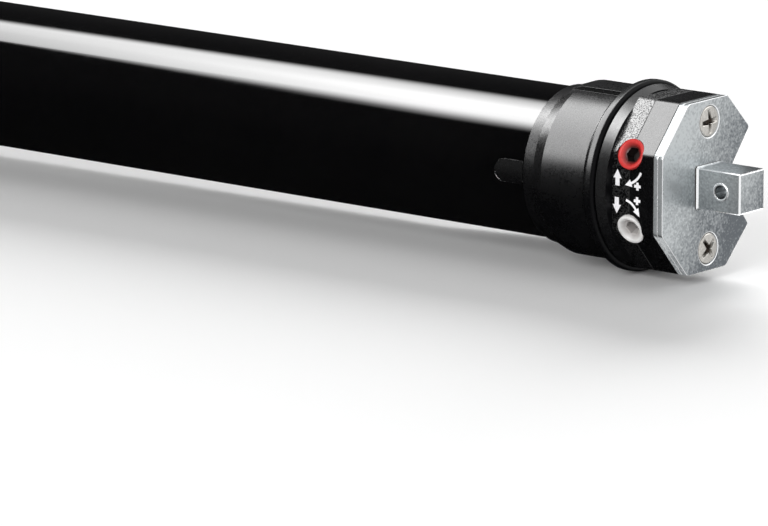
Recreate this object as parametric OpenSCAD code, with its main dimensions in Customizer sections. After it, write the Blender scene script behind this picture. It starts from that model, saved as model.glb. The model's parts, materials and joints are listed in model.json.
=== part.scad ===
// Tubular roller blind motor with a square pin, a turning crown and a drive wheel.
// X is the motor's own axis and +X points to the bracket. The end plate's front face is X 0.
// The limit sockets are on the -Y side and the cable leaves on the +Y side.

/* [Mounting pin] */
// Side of the square pin
pin_side = 12; // [10:0.5:14]
// Length of the pin in front of the end plate
pin_len = 15.4; // [12:0.1:25]
// Chamfer on the pin's edges
pin_chamfer = 0.3; // [0.2:0.1:1.5]
// Diameter of the hole across the pin
pin_hole_d = 4; // [2:0.5:6]
// Distance of that hole from the end plate
pin_hole_x = 8.6; // [5:0.1:9]
// Side of the pin's foot behind the plates
foot_side = 15; // [14.5:0.5:17]
// Thickness of that foot
foot_t = 3; // [2:0.5:4]

/* [End plates] */
// Thickness of the front end plate
plate_t = 1.7; // [1:0.1:3]
// Thickness of the backing plate
backing_t = 1.5; // [1:0.1:3]
// Diameter of the plate screws
screw_d = 5; // [4:0.5:6]
// Diameter of their countersunk heads
screw_head_d = 9.6; // [7:0.1:10]
// Length of the plate screws
screw_len = 15; // [13:0.5:16]
// Distance of each plate screw from the head's edge
screw_edge = 6.5; // [5.5:0.1:8]

/* [Head] */
// Distance from the axis to the side with the limit sockets
head_side = 22.5; // [21:0.1:24]
// Height of that flat side
side_flat = 22.9; // [18:0.1:26]
// Half the height of the head
head_half = 25.2; // [24.4:0.1:26]
// Rounding of the head's corners
corner_round = 2; // [0.5:0.1:4]
// Where the top flat starts on the socket side
top_from = 10; // [8:0.1:12]
// Where the top flat ends on the cable side
top_to = 8.7; // [7:0.1:11]
// Distance from the axis to the cable side
cable_side = 19.6; // [18:0.1:21]
// Width of the cable notch at its mouth
notch_mouth = 28.8; // [20:0.1:32]
// Radius of the notch's root
notch_r = 4; // [3:0.1:4.5]
// Distance of the cable from the axis
cable_y = 13; // [12.7:0.1:14]
// Diameter of the cable inlet's bore
cable_d = 5.6; // [4:0.1:6]
// Wall of the cable grommet
grommet_wall = 0.7; // [0.5:0.1:0.9]
// Length of the front cap
cap_len = 8.6; // [8:0.1:12]
// Length of the rear housing with flat sides
flat_len = 6.1; // [5:0.1:10]
// Radius of the round collar behind the flat sides
collar_r = 27; // [26.5:0.1:27.8]
// Length of that collar
collar_len = 2.7; // [1:0.1:4]
// How much smaller the collar's radius is at its front
collar_draft = 1.3; // [0:0.1:2]

/* [Limit screws] */
// Diameter of a limit screw's head
adjuster_d = 9; // [7:0.1:9.4]
// Length of that head
adjuster_head = 4; // [3:0.1:6]
// Diameter of its shank
adjuster_shank_d = 6; // [4:0.1:6.5]
// Length of its shank
adjuster_shank = 7.5; // [5:0.1:9]
// Hexagon socket across its flats
hex_flats = 4; // [3:0.1:5]
// Depth of the hexagon socket
hex_depth = 5; // [2:0.1:6]
// How far the head's face lies inside the corner
adjuster_inset = 0.6; // [0:0.1:1.5]
// Tilt of the limit screws from the side
adjuster_tilt = 22.5; // [18:0.5:26]

/* [Crown] */
// Height of the crown's flange over its ring
flange_rise = 2.4; // [2.2:0.1:5]
// Thickness of the flange
flange_len = 3.5; // [2.5:0.1:6]
// Rounding of the flange's rim
rim_round = 1.2; // [0.4:0.1:1.2]
// Height of the crown's ring over the bevel's small end
ring_rise = 1.35; // [0.5:0.05:2]
// Length of the ring
ring_len = 16.8; // [12:0.1:25]
// Fillet between ring and flange
ring_fillet = 1.8; // [0.5:0.1:2]
// Height of the bevel's small end over the rear lip
bevel_rise = 0.9; // [0.4:0.05:1.5]
// Length of the bevel
bevel_len = 4; // [2:0.1:6]
// Wall of the rear lip around the tube
lip_wall = 0.92; // [0.8:0.02:2]
// Length of the rear lip
lip_len = 4.2; // [2:0.1:6]
// Step from the bevel down to the lip, which narrows from there to its end
lip_step = 0.4; // [0.2:0.1:0.9]
// Width of the crown's keyways
keyway_w = 4; // [2:0.1:6]
// Depth of the keyways
keyway_depth = 1.6; // [0.8:0.1:2]
// Angle of the first keyway above the socket side
keyway_angle = 72; // [0:1:180]
// Length of the crown's front bearing
journal_len = 2.4; // [1.5:0.1:4]
// Width of the crown's inner teeth
crown_teeth_w = 9.5; // [6:0.1:11]

/* [Retainer] */
// Length of the crown retainer on the tube
retainer_len = 10.3; // [8:0.1:14]
// Width of the retainer
retainer_w = 6.8; // [4:0.1:9]
// How far it stands over the tube
retainer_rise = 0.8; // [0.4:0.1:0.9]
// Angle of the retainer above the socket side
retainer_angle = 2; // [-10:1:20]

/* [Tube] */
// Outer diameter of the motor tube
tube_d = 45; // [42:0.5:50]
// Wall of the motor tube
tube_wall = 1; // [0.8:0.1:1.3]

/* [Limit unit] */
// Length of the space for the counting wheels
limit_len = 48; // [44:0.5:60]
// Thickness of the unit's rear wall
limit_wall = 4; // [3:0.1:6]
// Thickness of a counting wheel's teeth
count_w = 2.6; // [2:0.1:3.5]
// Thickness of a counting wheel's cam
cam_w = 1.8; // [1.7:0.1:2.5]
// Distance between the two pairs of wheels
pair_pitch = 18; // [15:0.1:22]
// Diameter of the counting wheels' axle
axle_d = 5; // [3:0.1:6]
// Width of a limit switch
switch_w = 6; // [5.5:0.1:8]
// Length of a limit switch
switch_len = 12.8; // [12.4:0.1:13.4]
// Height of a limit switch
switch_h = 6.2; // [5.5:0.1:6.4]
// Diameter of a switch lever's pin
lever_pin_d = 1.2; // [0.8:0.1:1.2]

/* [Motor] */
// Length of the terminal block
terminal_len = 12; // [8:0.5:20]
// Diameter of the run capacitor
capacitor_d = 30; // [25:0.5:35]
// Length of the run capacitor
capacitor_len = 68; // [50:1:90]
// Thickness of the bearing shields
shield_t = 6; // [5:0.5:10]
// Length of the stator's core
stator_len = 70; // [50:1:90]
// Bore of the stator
stator_bore_d = 24; // [22:0.1:25]
// Reach of the winding past the core
overhang = 9; // [6:0.5:12]
// Number of stator slots
slots = 12; // [8:4:12]
// Air gap between rotor and stator
air_gap = 0.4; // [0.35:0.05:0.8]
// Diameter of the rotor's shaft
shaft_d = 8; // [7.2:0.1:9]
// Outer diameter of the rotor's bearings
bearing_d = 16; // [14:0.5:19]

/* [Brake] */
// Thickness of the brake's pole disc
pole_t = 10; // [6:0.5:14]
// Length of the brake spring
spring_len = 7; // [5:0.5:12]
// Thickness of the brake disc
brake_t = 5.5; // [4:0.5:8]
// Space around the brake disc
brake_clear = 3.4; // [2:0.1:5]
// Thickness of the brake lining
lining_t = 1.5; // [1:0.1:3]
// Thickness of the brake plate
brake_plate_t = 4; // [3:0.5:6]

/* [Gearbox] */
// Wall of the gearbox ring behind its teeth
gearbox_wall = 3.2; // [2:0.1:4]
// Face width of the first stage
stage_1_w = 11.5; // [8:0.5:15]
// Face width of the second stage
stage_2_w = 13.5; // [8:0.5:18]
// Face width of the third stage
stage_3_w = 16; // [10:0.5:22]
// Thickness of the first carrier's plate
carrier_1_t = 4; // [3:0.5:6]
// Thickness of the second carrier's plate
carrier_2_t = 4.5; // [3:0.5:7]
// Thickness of the output carrier's plate
carrier_3_t = 6.5; // [4:0.5:9]
// Diameter of the planet pins
planet_pin_d = 4.4; // [3:0.1:6]

/* [Drive end] */
// Length of the output bush inside the tube
bush_len = 33; // [25:0.5:45]
// Length of the bush's end flange
bush_flange = 4; // [2:0.5:6]
// Diameter of the output shaft
out_d = 12; // [10.5:0.1:14]
// Distance across the output shaft's flats
out_flats = 10; // [8.5:0.1:10.3]
// Gap between bush and drive wheel
drive_gap = 4; // [1:0.5:10]
// Length of the drive wheel
wheel_len = 30; // [20:0.5:45]
// Length of the shaft past the drive wheel
shaft_past = 8; // [6:0.5:15]
// Thickness of the drive wheel's rim
wheel_rim = 2.6; // [2:0.1:4]
// Thickness of the retaining clip
clip_t = 1.2; // [0.8:0.1:1.8]

/* [Fits] */
// Radial clearance of turning fits
run_fit = 0.08; // [0.05:0.01:0.1]
// Clearance between fixed pieces
seat_fit = 0.05; // [0.02:0.01:0.1]
// Clearance between faces that turn past each other
face_gap = 0.5; // [0.3:0.1:0.6]
// Thinning of each gear flank for backlash
backlash = 0.06; // [0.05:0.01:0.08]

/* [Hidden] */
$fn = 96;
// Reach of a cut past the face that it opens
over = 1;
full_turn = 360;

// Tooth counts of the crown, of both ends of the limit pinion and of the counting wheels
crown_z = 50;
pinion_z = 14;
driver_z = 12;
count_z = [21, 22];
// Tooth counts of each gearbox stage
sun_z = 12;
planet_z = 21;
ring_z = 54;
planets = 3;
// Tooth form, as parts of the module
pressure = 25;
tooth_add = 0.8;
tooth_ded = 1.1;

// Places along X, from the end plate to the crown
plates_t = plate_t + backing_t;
screw_z = head_half - screw_edge;
seam_x = -plates_t - cap_len;
collar_front = seam_x - flat_len;
grommet_r = cable_d / 2 + grommet_wall;
collar_back = collar_front - collar_len;
flange_front = collar_back - face_gap;
flange_back = flange_front - flange_len;
ring_back = flange_back - ring_len;
bevel_back = ring_back - bevel_len;
crown_back = bevel_back - lip_len;
teeth_front = flange_front - journal_len;
teeth_back = teeth_front - crown_teeth_w;

// Tube, retainer and neck
retainer_foot = 1.5;
spigot_past = 4;
journal_step = 0.5;
tube_r = tube_d / 2;
bore_r = tube_r - tube_wall;
inner_r = bore_r - seat_fit;
tube_front = teeth_back - face_gap;
retainer_front = crown_back - face_gap;
retainer_back = retainer_front - retainer_len;
retainer_foot_r = inner_r - retainer_foot;
spigot_back = retainer_back - spigot_past;
journal_r = tube_r - journal_step;

// Crown, stepping out from the tube
crown_pitch_in = 0.25;
seat_r = tube_r + run_fit;
lip_r = seat_r + lip_wall;
bevel_r = lip_r + bevel_rise;
ring_r = bevel_r + ring_rise;
flange_r = ring_r + flange_rise;
crown_pitch_r = bore_r - crown_pitch_in;
limit_m = 2 * crown_pitch_r / crown_z;
crown_tip_r = crown_pitch_r - tooth_add * limit_m;
neck_r = crown_tip_r - face_gap;

// Limit gears, with cams below the roots of the counting wheels' teeth
cam_step = 0.5;
cam_notch_depth = 1.5;
pinion_y = limit_m * (crown_z - pinion_z) / 2;
pinion_tip_r = limit_m * (pinion_z / 2 + tooth_add);
pinion_shaft_r = 2.5;
pinion_stub_r = 2;
pinion_stub = 3;
count_z_pos = limit_m * (driver_z + count_z[0]) / 2 - pinion_y;
cam_r = limit_m * (count_z[0] / 2 - tooth_ded) - cam_step;
cam_notch_r = cam_r - cam_notch_depth;
cam_notch = 46;
limit_back = spigot_back - limit_len - limit_wall;
pair_mid = spigot_back - limit_len / 2;
pair_x = [pair_mid + pair_pitch / 2, pair_mid - pair_pitch / 2];
axle_seat = 6;
wheel_gap = 0.3;
pair_half = wheel_gap / 2 + cam_w + count_w;

// Limit unit's frame, its switches and their levers
frame_fit = 0.1;
roof_t = 4.2;
cable_room = 1.5;
lever_edge = 0.9;
lever_drop = 1.3;
lever_hub_wall = 0.4;
nose_gap = 0.3;
frame_r = inner_r - frame_fit;
frame_roof = frame_r - roof_t;
frame_rail = cable_y + cable_d / 2 + cable_room;
rail_h = 18;
switch_top = frame_roof - seat_fit;
switch_floor = switch_top - switch_h;
lever_y = switch_len / 2 - lever_edge;
lever_z = switch_floor - lever_drop;
lever_t = 0.6;
lever_hub_r = lever_pin_d / 2 + lever_hub_wall;
ear_w = 1;
nose_r = 0.7;
nose_z = count_z_pos + cam_r + nose_gap + nose_r;

// Motor
terminal_space = 4;
capacitor_space = 6;
winding_space = 2;
shaft_nose = 1.5;
terminal_back = limit_back - terminal_len;
capacitor_front = terminal_back - terminal_space;
capacitor_back = capacitor_front - capacitor_len;
shield_1_front = capacitor_back - capacitor_space;
stator_front = shield_1_front - shield_t - winding_space - overhang;
stator_back = stator_front - stator_len;
shield_2_front = stator_back - overhang - winding_space;
shield_2_back = shield_2_front - shield_t;
stator_r = stator_bore_d / 2;
slot_w = 3.6;
slot_back = 2.5;
slot_r = inner_r - slot_back;
slot_gap = 0.3;
rotor_r = stator_r - air_gap;
shaft_r = shaft_d / 2;
shaft_front = shield_1_front + shaft_nose;

// Brake
pole_space = 3;
brake_air = 0.3;
brake_step = 1;
brake_r = inner_r - brake_clear;
pole_front = shield_2_back - pole_space;
pole_back = pole_front - pole_t;
brake_front = pole_back - spring_len;
brake_back = brake_front - brake_t;
lining_front = brake_back - brake_air;
plate_front = lining_front - lining_t;
plate_back = plate_front - brake_plate_t;
spring_gap = 0.15;
spring_wall = 1.6;

// Gearbox
stage_1_space = 4;
ring_past = 5;
carrier_clear = 1.4;
ring_front = plate_back - face_gap;
stage_1_front = ring_front - stage_1_space;
stage_1_back = stage_1_front - stage_1_w;
plate_1_front = stage_1_back - face_gap;
plate_1_back = plate_1_front - carrier_1_t;
stage_2_front = plate_1_back - face_gap;
stage_2_back = stage_2_front - stage_2_w;
plate_2_front = stage_2_back - face_gap;
plate_2_back = plate_2_front - carrier_2_t;
stage_3_front = plate_2_back - face_gap;
stage_3_back = stage_3_front - stage_3_w;
plate_3_front = stage_3_back - face_gap;
plate_3_back = plate_3_front - carrier_3_t;
ring_end = plate_3_back - ring_past;
gear_m = (inner_r - gearbox_wall) / (ring_z / 2 + tooth_ded);
planet_orbit = gear_m * (sun_z + planet_z) / 2;
carrier_r = gear_m * (ring_z / 2 - tooth_add) - carrier_clear;
planet_pin_r = planet_pin_d / 2;

// Drive end
clip_space = 0.3;
clip_seat_depth = 0.6;
wheel_hub_wall = 4;
out_r = out_d / 2;
bush_front = ring_end - face_gap;
tube_back = bush_front - bush_len;
bush_back = tube_back - bush_flange;
wheel_front = bush_back - drive_gap;
wheel_back = wheel_front - wheel_len;
clip_front = wheel_back - clip_space;
shaft_back = wheel_back - shaft_past;
wheel_hub_r = out_r + wheel_hub_wall;
wheel_web_t = 3;
clip_seat_r = out_flats / 2 - clip_seat_depth;
tube_screw_x = bush_front - bush_len / 2;
tube_screw_r = 2;
tube_screw_head_r = 3;
tube_screw_head = 1;
tube_screw_depth = 7;

// Placing: children drawn in a local XY plane lie in the YZ plane at x, and rise towards +X
module axial(x) {
    translate([x, 0, 0]) rotate([90, 0, 90]) children();
}

module rod(front, back, r) {
    axial(back) cylinder(h = front - back, r = r);
}

module slab(front, back) {
    axial(back) linear_extrude(front - back) children();
}

module sleeve(front, back, r_out, r_in) {
    slab(front, back) difference() {
        circle(r = r_out);
        circle(r = r_in);
    }
}

// Turns children in the YZ plane so that their local X points up from the socket side by an angle
module facing(angle) {
    rotate(180 - angle) children();
}

function on_circle(c, r, a) = c + r * [cos(a), sin(a)];

function arc(c, r, from, to, steps = 8) =
    [for (i = [0:steps]) on_circle(c, r, from + (to - from) * i / steps)];

// Involute gears
function involute(a) = tan(a) * 180 / PI - a;

function flank_angle(r, z, m, shift, thin) =
    90 / z + (2 * shift * tan(pressure) / z - thin / (m * z / 2)) * 180 / PI
    + involute(pressure) - involute(acos(min(1, m * z / 2 * cos(pressure) / r)));

function gear_points(z, m, shift, thin, add, ded, steps = 3) =
    let (
        pitch_r = m * z / 2,
        base_r = pitch_r * cos(pressure),
        tip_r = pitch_r + m * (add + shift),
        root_r = pitch_r - m * (ded - shift),
        low_r = max(base_r, root_r),
        radii = concat(
            root_r < base_r ? [root_r] : [],
            [for (i = [0:steps]) low_r + (tip_r - low_r) * i / steps]
        ),
        half = [for (r = radii) flank_angle(max(r, low_r), z, m, shift, thin)],
        top = len(radii) - 1
    )
    [for (t = [0:z - 1]) each concat(
        [for (i = [0:top]) on_circle([0, 0], radii[i], full_turn * t / z - half[i])],
        [for (i = [top:-1:0]) on_circle([0, 0], radii[i], full_turn * t / z + half[i])]
    )];

module gear_2d(z, m, shift = 0) {
    polygon(gear_points(z, m, shift, backlash, tooth_add, tooth_ded));
}

// The space inside a gear with inner teeth
module inner_gear_2d(z, m) {
    polygon(gear_points(z, m, 0, -backlash, tooth_ded, tooth_add));
}

// Head
function tangent_point(p, c, r, side) =
    let (
        d = norm(p - c),
        toward = atan2(c[1] - p[1], c[0] - p[0]),
        a = toward + side * asin(r / d)
    )
    p + sqrt(d * d - r * r) * [cos(a), sin(a)];

// Points that round a corner of an outline that runs clockwise
function round_corner(before, corner, after, r) =
    let (
        u = (before - corner) / norm(before - corner),
        v = (after - corner) / norm(after - corner),
        opening = acos(u * v),
        centre = corner + (u + v) / norm(u + v) * r / sin(opening / 2),
        touch = corner + u * r / tan(opening / 2) - centre,
        from = atan2(touch[1], touch[0])
    )
    arc(centre, r, from, from + opening - full_turn / 2);

// The head's outline, whose lower half mirrors the upper one
module head_2d() {
    side_top = side_flat / 2;
    mouth = [cable_side, notch_mouth / 2];
    root = [cable_y, 0];
    touch = tangent_point(mouth, root, notch_r, -1);
    from = atan2(touch[1] - root[1], touch[0] - root[0]);
    corners = [
        [-head_side, -side_top], [-head_side, side_top], [-top_from, head_half], [top_to, head_half], mouth
    ];
    upper = [for (i = [1:3]) each round_corner(corners[i - 1], corners[i], corners[i + 1], corner_round)];
    lower = [for (i = [len(upper) - 1:-1:0]) [upper[i][0], -upper[i][1]]];
    notch = arc(root, notch_r, from, full_turn - from);
    polygon(concat(upper, [mouth], notch, [[mouth[0], -mouth[1]]], lower));
}

module at_screws() {
    for (z = [-screw_z, screw_z]) translate([0, z]) children();
}

module pin_hole_2d() {
    square(pin_side + 2 * seat_fit, center = true);
}

module square_pin() {
    half = pin_side / 2;
    low = half - pin_chamfer;
    color("silver") difference() {
        union() {
            slab(pin_len, -plates_t) polygon([
                [-half, -low], [-low, -half], [low, -half], [half, -low],
                [half, low], [low, half], [-low, half], [-half, low]
            ]);
            slab(-plates_t, -plates_t - foot_t) square(foot_side, center = true);
        }
        translate([pin_hole_x, 0, 0]) rotate([90, 0, 0])
            cylinder(h = pin_side + 2 * over, d = pin_hole_d, center = true);
    }
}

module end_plate() {
    head_r = screw_head_d / 2 + seat_fit;
    hole_r = screw_d / 2 + seat_fit;
    color("gainsboro") difference() {
        slab(0, -plate_t) head_2d();
        slab(over, -plate_t - over) pin_hole_2d();
        axial(-plate_t - over) at_screws() cylinder(h = plate_t + 2 * over, r = hole_r);
        axial(-plate_t) at_screws() cylinder(h = plate_t, r1 = hole_r, r2 = head_r);
    }
}

module backing_plate() {
    color("silver") difference() {
        slab(-plate_t, -plates_t) head_2d();
        slab(0, -plates_t - over) pin_hole_2d();
        slab(0, -plates_t - over) at_screws() circle(r = screw_d / 2 + seat_fit);
    }
}

module end_plate_screws() {
    cross_w = 1.1;
    cross_share = 0.6;
    depth_share = 0.7;
    deepest = 1.2;
    cross_len = screw_head_d * cross_share;
    cross_depth = min(deepest, plate_t * depth_share);
    color("lightgray") axial(0) at_screws() difference() {
        union() {
            translate([0, 0, -plate_t]) cylinder(h = plate_t, d1 = screw_d, d2 = screw_head_d);
            translate([0, 0, -screw_len]) cylinder(h = screw_len - plate_t, d = screw_d);
        }
        for (a = [0, 90]) rotate(a)
            translate([0, 0, over / 2 - cross_depth / 2])
                cube([cross_len, cross_w, cross_depth + over], center = true);
    }
}

// A limit screw's own axis, with its outer face at Z 0
module at_adjuster(side) {
    translate([seam_x, -head_side, side * side_flat / 2])
        rotate([90 - side * adjuster_tilt, 0, 0])
            translate([0, 0, -adjuster_inset]) children();
}

module adjuster(side) {
    at_adjuster(side) difference() {
        union() {
            translate([0, 0, -adjuster_head]) cylinder(h = adjuster_head, d = adjuster_d);
            translate([0, 0, -adjuster_head - adjuster_shank])
                cylinder(h = adjuster_shank, d = adjuster_shank_d);
        }
        translate([0, 0, -hex_depth])
            cylinder(h = hex_depth + over, d = hex_flats / cos(30), $fn = 6);
    }
}

module adjuster_seats() {
    outside = 6;
    for (side = [-1, 1]) at_adjuster(side) {
        translate([0, 0, -adjuster_head - face_gap])
            cylinder(h = adjuster_head + face_gap + outside, r = adjuster_d / 2 + run_fit);
        translate([0, 0, -adjuster_head - adjuster_shank - face_gap])
            cylinder(h = adjuster_shank + face_gap, r = adjuster_shank_d / 2 + run_fit);
    }
}

module limit_screw_red() {
    color("firebrick") adjuster(1);
}

module limit_screw_white() {
    color("whitesmoke") adjuster(-1);
}

module head_cap() {
    color("dimgray") difference() {
        slab(-plates_t, seam_x) head_2d();
        slab(0, -plates_t - foot_t - seat_fit) square(foot_side + 2 * seat_fit, center = true);
        slab(0, seam_x - over) at_screws() circle(r = screw_d / 2 + seat_fit);
        adjuster_seats();
    }
}

module head_housing() {
    pocket_r = pinion_tip_r + face_gap;
    color("black") difference() {
        union() {
            slab(seam_x, collar_front) head_2d();
            axial(collar_back) cylinder(h = collar_len, r1 = collar_r, r2 = collar_r - collar_draft);
            rod(collar_back, teeth_front + face_gap / 2, journal_r);
            rod(collar_back, spigot_back, neck_r);
            rod(tube_front - seat_fit, spigot_back, inner_r);
        }
        slab(0, -screw_len - seat_fit) at_screws() circle(r = screw_d / 2 + seat_fit);
        adjuster_seats();
        slab(collar_front, spigot_back - over) translate([cable_y, 0]) circle(r = grommet_r + seat_fit);
        slab(teeth_front, teeth_back - face_gap) translate([0, -pinion_y]) circle(r = pocket_r);
        slab(teeth_front + pinion_stub + face_gap, teeth_front - over)
            translate([0, -pinion_y]) circle(r = pinion_stub_r + run_fit);
        slab(teeth_back, spigot_back - over)
            translate([0, -pinion_y]) circle(r = pinion_shaft_r + run_fit);
        slab(spigot_back + axle_seat + seat_fit, spigot_back - over)
            translate([0, count_z_pos]) circle(r = axle_d / 2 + seat_fit);
        retainer_shape(retainer_foot_r - seat_fit, tube_r, seat_fit);
    }
}

module cable_grommet() {
    lip_fit = 0.1;
    lip_r = notch_r - lip_fit;
    lip = 1.5;
    length = 8;
    color("dimgray") axial(collar_front - length) translate([cable_y, 0]) difference() {
        union() {
            cylinder(h = length, r = grommet_r);
            translate([0, 0, length]) cylinder(h = lip, r = lip_r);
        }
        translate([0, 0, -over]) cylinder(h = length + lip + 2 * over, d = cable_d);
    }
}

// Crown, its retainer and the tube
module keyways_2d(r) {
    for (a = [keyway_angle, keyway_angle + 180]) facing(a)
        translate([r - keyway_depth, -keyway_w / 2]) square([keyway_depth + over, keyway_w]);
}

module crown_ring() {
    rim = [flange_r - rim_round, flange_front - rim_round];
    rim_back = [flange_r - rim_round, flange_back + rim_round];
    fillet = [ring_r + ring_fillet, flange_back - ring_fillet];
    color("black") difference() {
        axial(0) rotate_extrude() polygon(concat(
            [[journal_r + run_fit, flange_front]],
            arc(rim, rim_round, 90, 0),
            arc(rim_back, rim_round, 0, -90),
            arc(fillet, ring_fillet, 90, 180),
            [
                [ring_r, ring_back], [bevel_r, bevel_back], [bevel_r - lip_step, bevel_back],
                [lip_r, crown_back], [seat_r, crown_back], [seat_r, teeth_back],
                [neck_r, teeth_back], [neck_r, teeth_front], [journal_r + run_fit, teeth_front]
            ]
        ));
        slab(teeth_front + over, teeth_back - over) intersection() {
            rotate(-90) inner_gear_2d(crown_z, limit_m);
            circle(r = crown_pitch_r + tooth_ded * limit_m);
        }
        slab(flange_back - ring_fillet, crown_back - over) keyways_2d(ring_r);
    }
}

// A round-ended tongue across the tube's wall, grown by a clearance
module retainer_shape(r_in, r_out, grow) {
    half = retainer_w / 2 + grow;
    end_x = retainer_back - grow + half;
    intersection() {
        slab(retainer_front + grow, retainer_back - grow) difference() {
            circle(r = r_out);
            circle(r = r_in);
        }
        axial(0) facing(retainer_angle) rotate([0, 90, 0]) linear_extrude(r_out + over) union() {
            translate([-end_x, 0]) circle(r = half);
            translate([-retainer_front - grow, -half]) square([retainer_front + grow - end_x, 2 * half]);
        }
    }
}

module crown_retainer() {
    color("black") retainer_shape(retainer_foot_r, tube_r + retainer_rise, 0);
}

module at_tube_screws() {
    for (a = [45:90:315]) axial(tube_screw_x) rotate(a) rotate([0, 90, 0]) children();
}

module motor_tube() {
    color("black") difference() {
        sleeve(tube_front, tube_back, tube_r, bore_r);
        retainer_shape(bore_r - over, tube_r + over, seat_fit);
        at_tube_screws() cylinder(h = tube_r + over, r = tube_screw_r + seat_fit);
    }
}

// Limit unit
module limit_frame() {
    inlet_room = 1;
    color("lightgray") difference() {
        union() {
            slab(limit_back + limit_wall, limit_back) circle(r = frame_r);
            slab(spigot_back, limit_back) intersection() {
                circle(r = frame_r);
                union() {
                    for (side = [-1, 1]) translate([side * (frame_rail + frame_r / 2), 0])
                        square([frame_r, rail_h], center = true);
                    translate([0, frame_roof + frame_r / 2]) square([2 * frame_r, frame_r], center = true);
                }
            }
        }
        slab(spigot_back, limit_back - over) {
            translate([0, -pinion_y]) circle(r = pinion_shaft_r + run_fit);
            translate([0, count_z_pos]) circle(r = axle_d / 2 + seat_fit);
            translate([cable_y, 0]) circle(r = cable_d / 2 + inlet_room);
        }
    }
}

// The pinion's front teeth run in the crown, its rear teeth drive the counting wheels inside the tube
module limit_pinion() {
    past_wheels = 1;
    driver_len = pair_pitch + 2 * (pair_half + past_wheels);
    color("ivory") axial(0) translate([0, -pinion_y]) {
        translate([0, 0, limit_back + face_gap])
            cylinder(h = teeth_back - limit_back, r = pinion_shaft_r);
        translate([0, 0, teeth_front - face_gap])
            cylinder(h = pinion_stub + face_gap, r = pinion_stub_r);
        translate([0, 0, teeth_back]) linear_extrude(teeth_front - face_gap - teeth_back)
            rotate(-90) gear_2d(pinion_z, limit_m);
        translate([0, 0, pair_x[1] - pair_half - past_wheels])
            linear_extrude(driver_len) rotate(-90) gear_2d(driver_z, limit_m);
    }
}

module counter_axle() {
    color("silver") axial(limit_back) translate([0, count_z_pos])
        cylinder(h = spigot_back + axle_seat - limit_back, d = axle_d);
}

// A counting wheel with its cam towards the middle of its pair
module count_wheel(x, side, z) {
    shift = (count_z[0] - z) / 2;
    half_pitch = z % 2 == 0 ? 180 / z : 0;
    axial(x) translate([0, count_z_pos]) mirror([0, 0, side < 0 ? 1 : 0]) difference() {
        union() {
            translate([0, 0, wheel_gap / 2 + cam_w]) linear_extrude(count_w)
                rotate(90 + half_pitch) gear_2d(z, limit_m, shift);
            translate([0, 0, wheel_gap / 2]) linear_extrude(cam_w) difference() {
                circle(r = cam_r);
                for (a = [90, 270]) rotate(a) difference() {
                    polygon([
                        [0, 0],
                        on_circle([0, 0], 2 * cam_r, -cam_notch / 2),
                        on_circle([0, 0], 2 * cam_r, cam_notch / 2)
                    ]);
                    circle(r = cam_notch_r);
                }
            }
        }
        cylinder(h = 3 * pair_half, r = axle_d / 2 + run_fit, center = true);
    }
}

module count_wheel_up_a() {
    color("gold") count_wheel(pair_x[0], 1, count_z[0]);
}

module count_wheel_up_b() {
    color("khaki") count_wheel(pair_x[0], -1, count_z[1]);
}

module count_wheel_down_a() {
    color("gold") count_wheel(pair_x[1], 1, count_z[0]);
}

module count_wheel_down_b() {
    color("khaki") count_wheel(pair_x[1], -1, count_z[1]);
}

module limit_switch(x) {
    ear_half = 0.9;
    ear_x = switch_w / 2 - ear_w / 2;
    ear_len = switch_floor - lever_z + ear_half;
    button_r = 0.8;
    button_rise = 0.7;
    color("darkslategray") difference() {
        union() {
            translate([x - switch_w / 2, -switch_len / 2, switch_floor])
                cube([switch_w, switch_len, switch_h]);
            for (side = [-1, 1])
                translate([x + side * ear_x - ear_w / 2, lever_y - ear_half, lever_z - ear_half])
                    cube([ear_w, 2 * ear_half, ear_len]);
            translate([x, 0, switch_floor - button_rise])
                cylinder(h = button_rise + over / 2, r = button_r);
        }
        rod_at(x + switch_w, x - switch_w, lever_y, lever_z, lever_pin_d / 2 + seat_fit);
    }
}

module rod_at(front, back, y, z, r) {
    translate([0, y, z]) rod(front, back, r);
}

module switch_up() {
    limit_switch(pair_x[0]);
}

module switch_down() {
    limit_switch(pair_x[1]);
}

module switch_lever(x) {
    ear_gap = 0.3;
    cam_overhang = 0.2;
    half = switch_w / 2 - ear_w - ear_gap;
    nose_half = cam_w - cam_overhang;
    blade_end = -5;
    color("silver") difference() {
        union() {
            rod_at(x + half, x - half, lever_y, lever_z, lever_hub_r);
            translate([x - nose_half, blade_end, lever_z - lever_t / 2])
                cube([2 * nose_half, lever_y - blade_end, lever_t]);
            translate([x - nose_half, -nose_r, nose_z]) cube([2 * nose_half, 2 * nose_r, lever_z - nose_z]);
            rod_at(x + nose_half, x - nose_half, 0, nose_z, nose_r);
        }
        rod_at(x + switch_w, x - switch_w, lever_y, lever_z, lever_pin_d / 2 + run_fit);
    }
}

module switch_lever_up() {
    switch_lever(pair_x[0]);
}

module switch_lever_down() {
    switch_lever(pair_x[1]);
}

module lever_pins() {
    color("silver") for (x = pair_x)
        rod_at(x + switch_w / 2, x - switch_w / 2, lever_y, lever_z, lever_pin_d / 2);
}

// Motor
module terminal_block() {
    half_y = 11;
    half_z = 6;
    pitch = 5;
    terminals = 4;
    hole_r = 1.6;
    hole_depth = 6;
    first = -pitch * (terminals - 1) / 2;
    color("darkgreen") difference() {
        translate([terminal_back, -half_y, -half_z]) cube([terminal_len, 2 * half_y, 2 * half_z]);
        for (n = [0:terminals - 1])
            rod_at(terminal_back + hole_depth, terminal_back - over, first + n * pitch, 0, hole_r);
    }
}

module run_capacitor() {
    color("lightsteelblue") rod(capacitor_front, capacitor_back, capacitor_d / 2);
}

module capacitor_clamps() {
    clamp_w = 8;
    clamp_edge = 4;
    for (x = [capacitor_front - clamp_edge, capacitor_back + clamp_edge + clamp_w])
        color("gray") sleeve(x, x - clamp_w, inner_r, capacitor_d / 2 + seat_fit);
}

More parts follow.
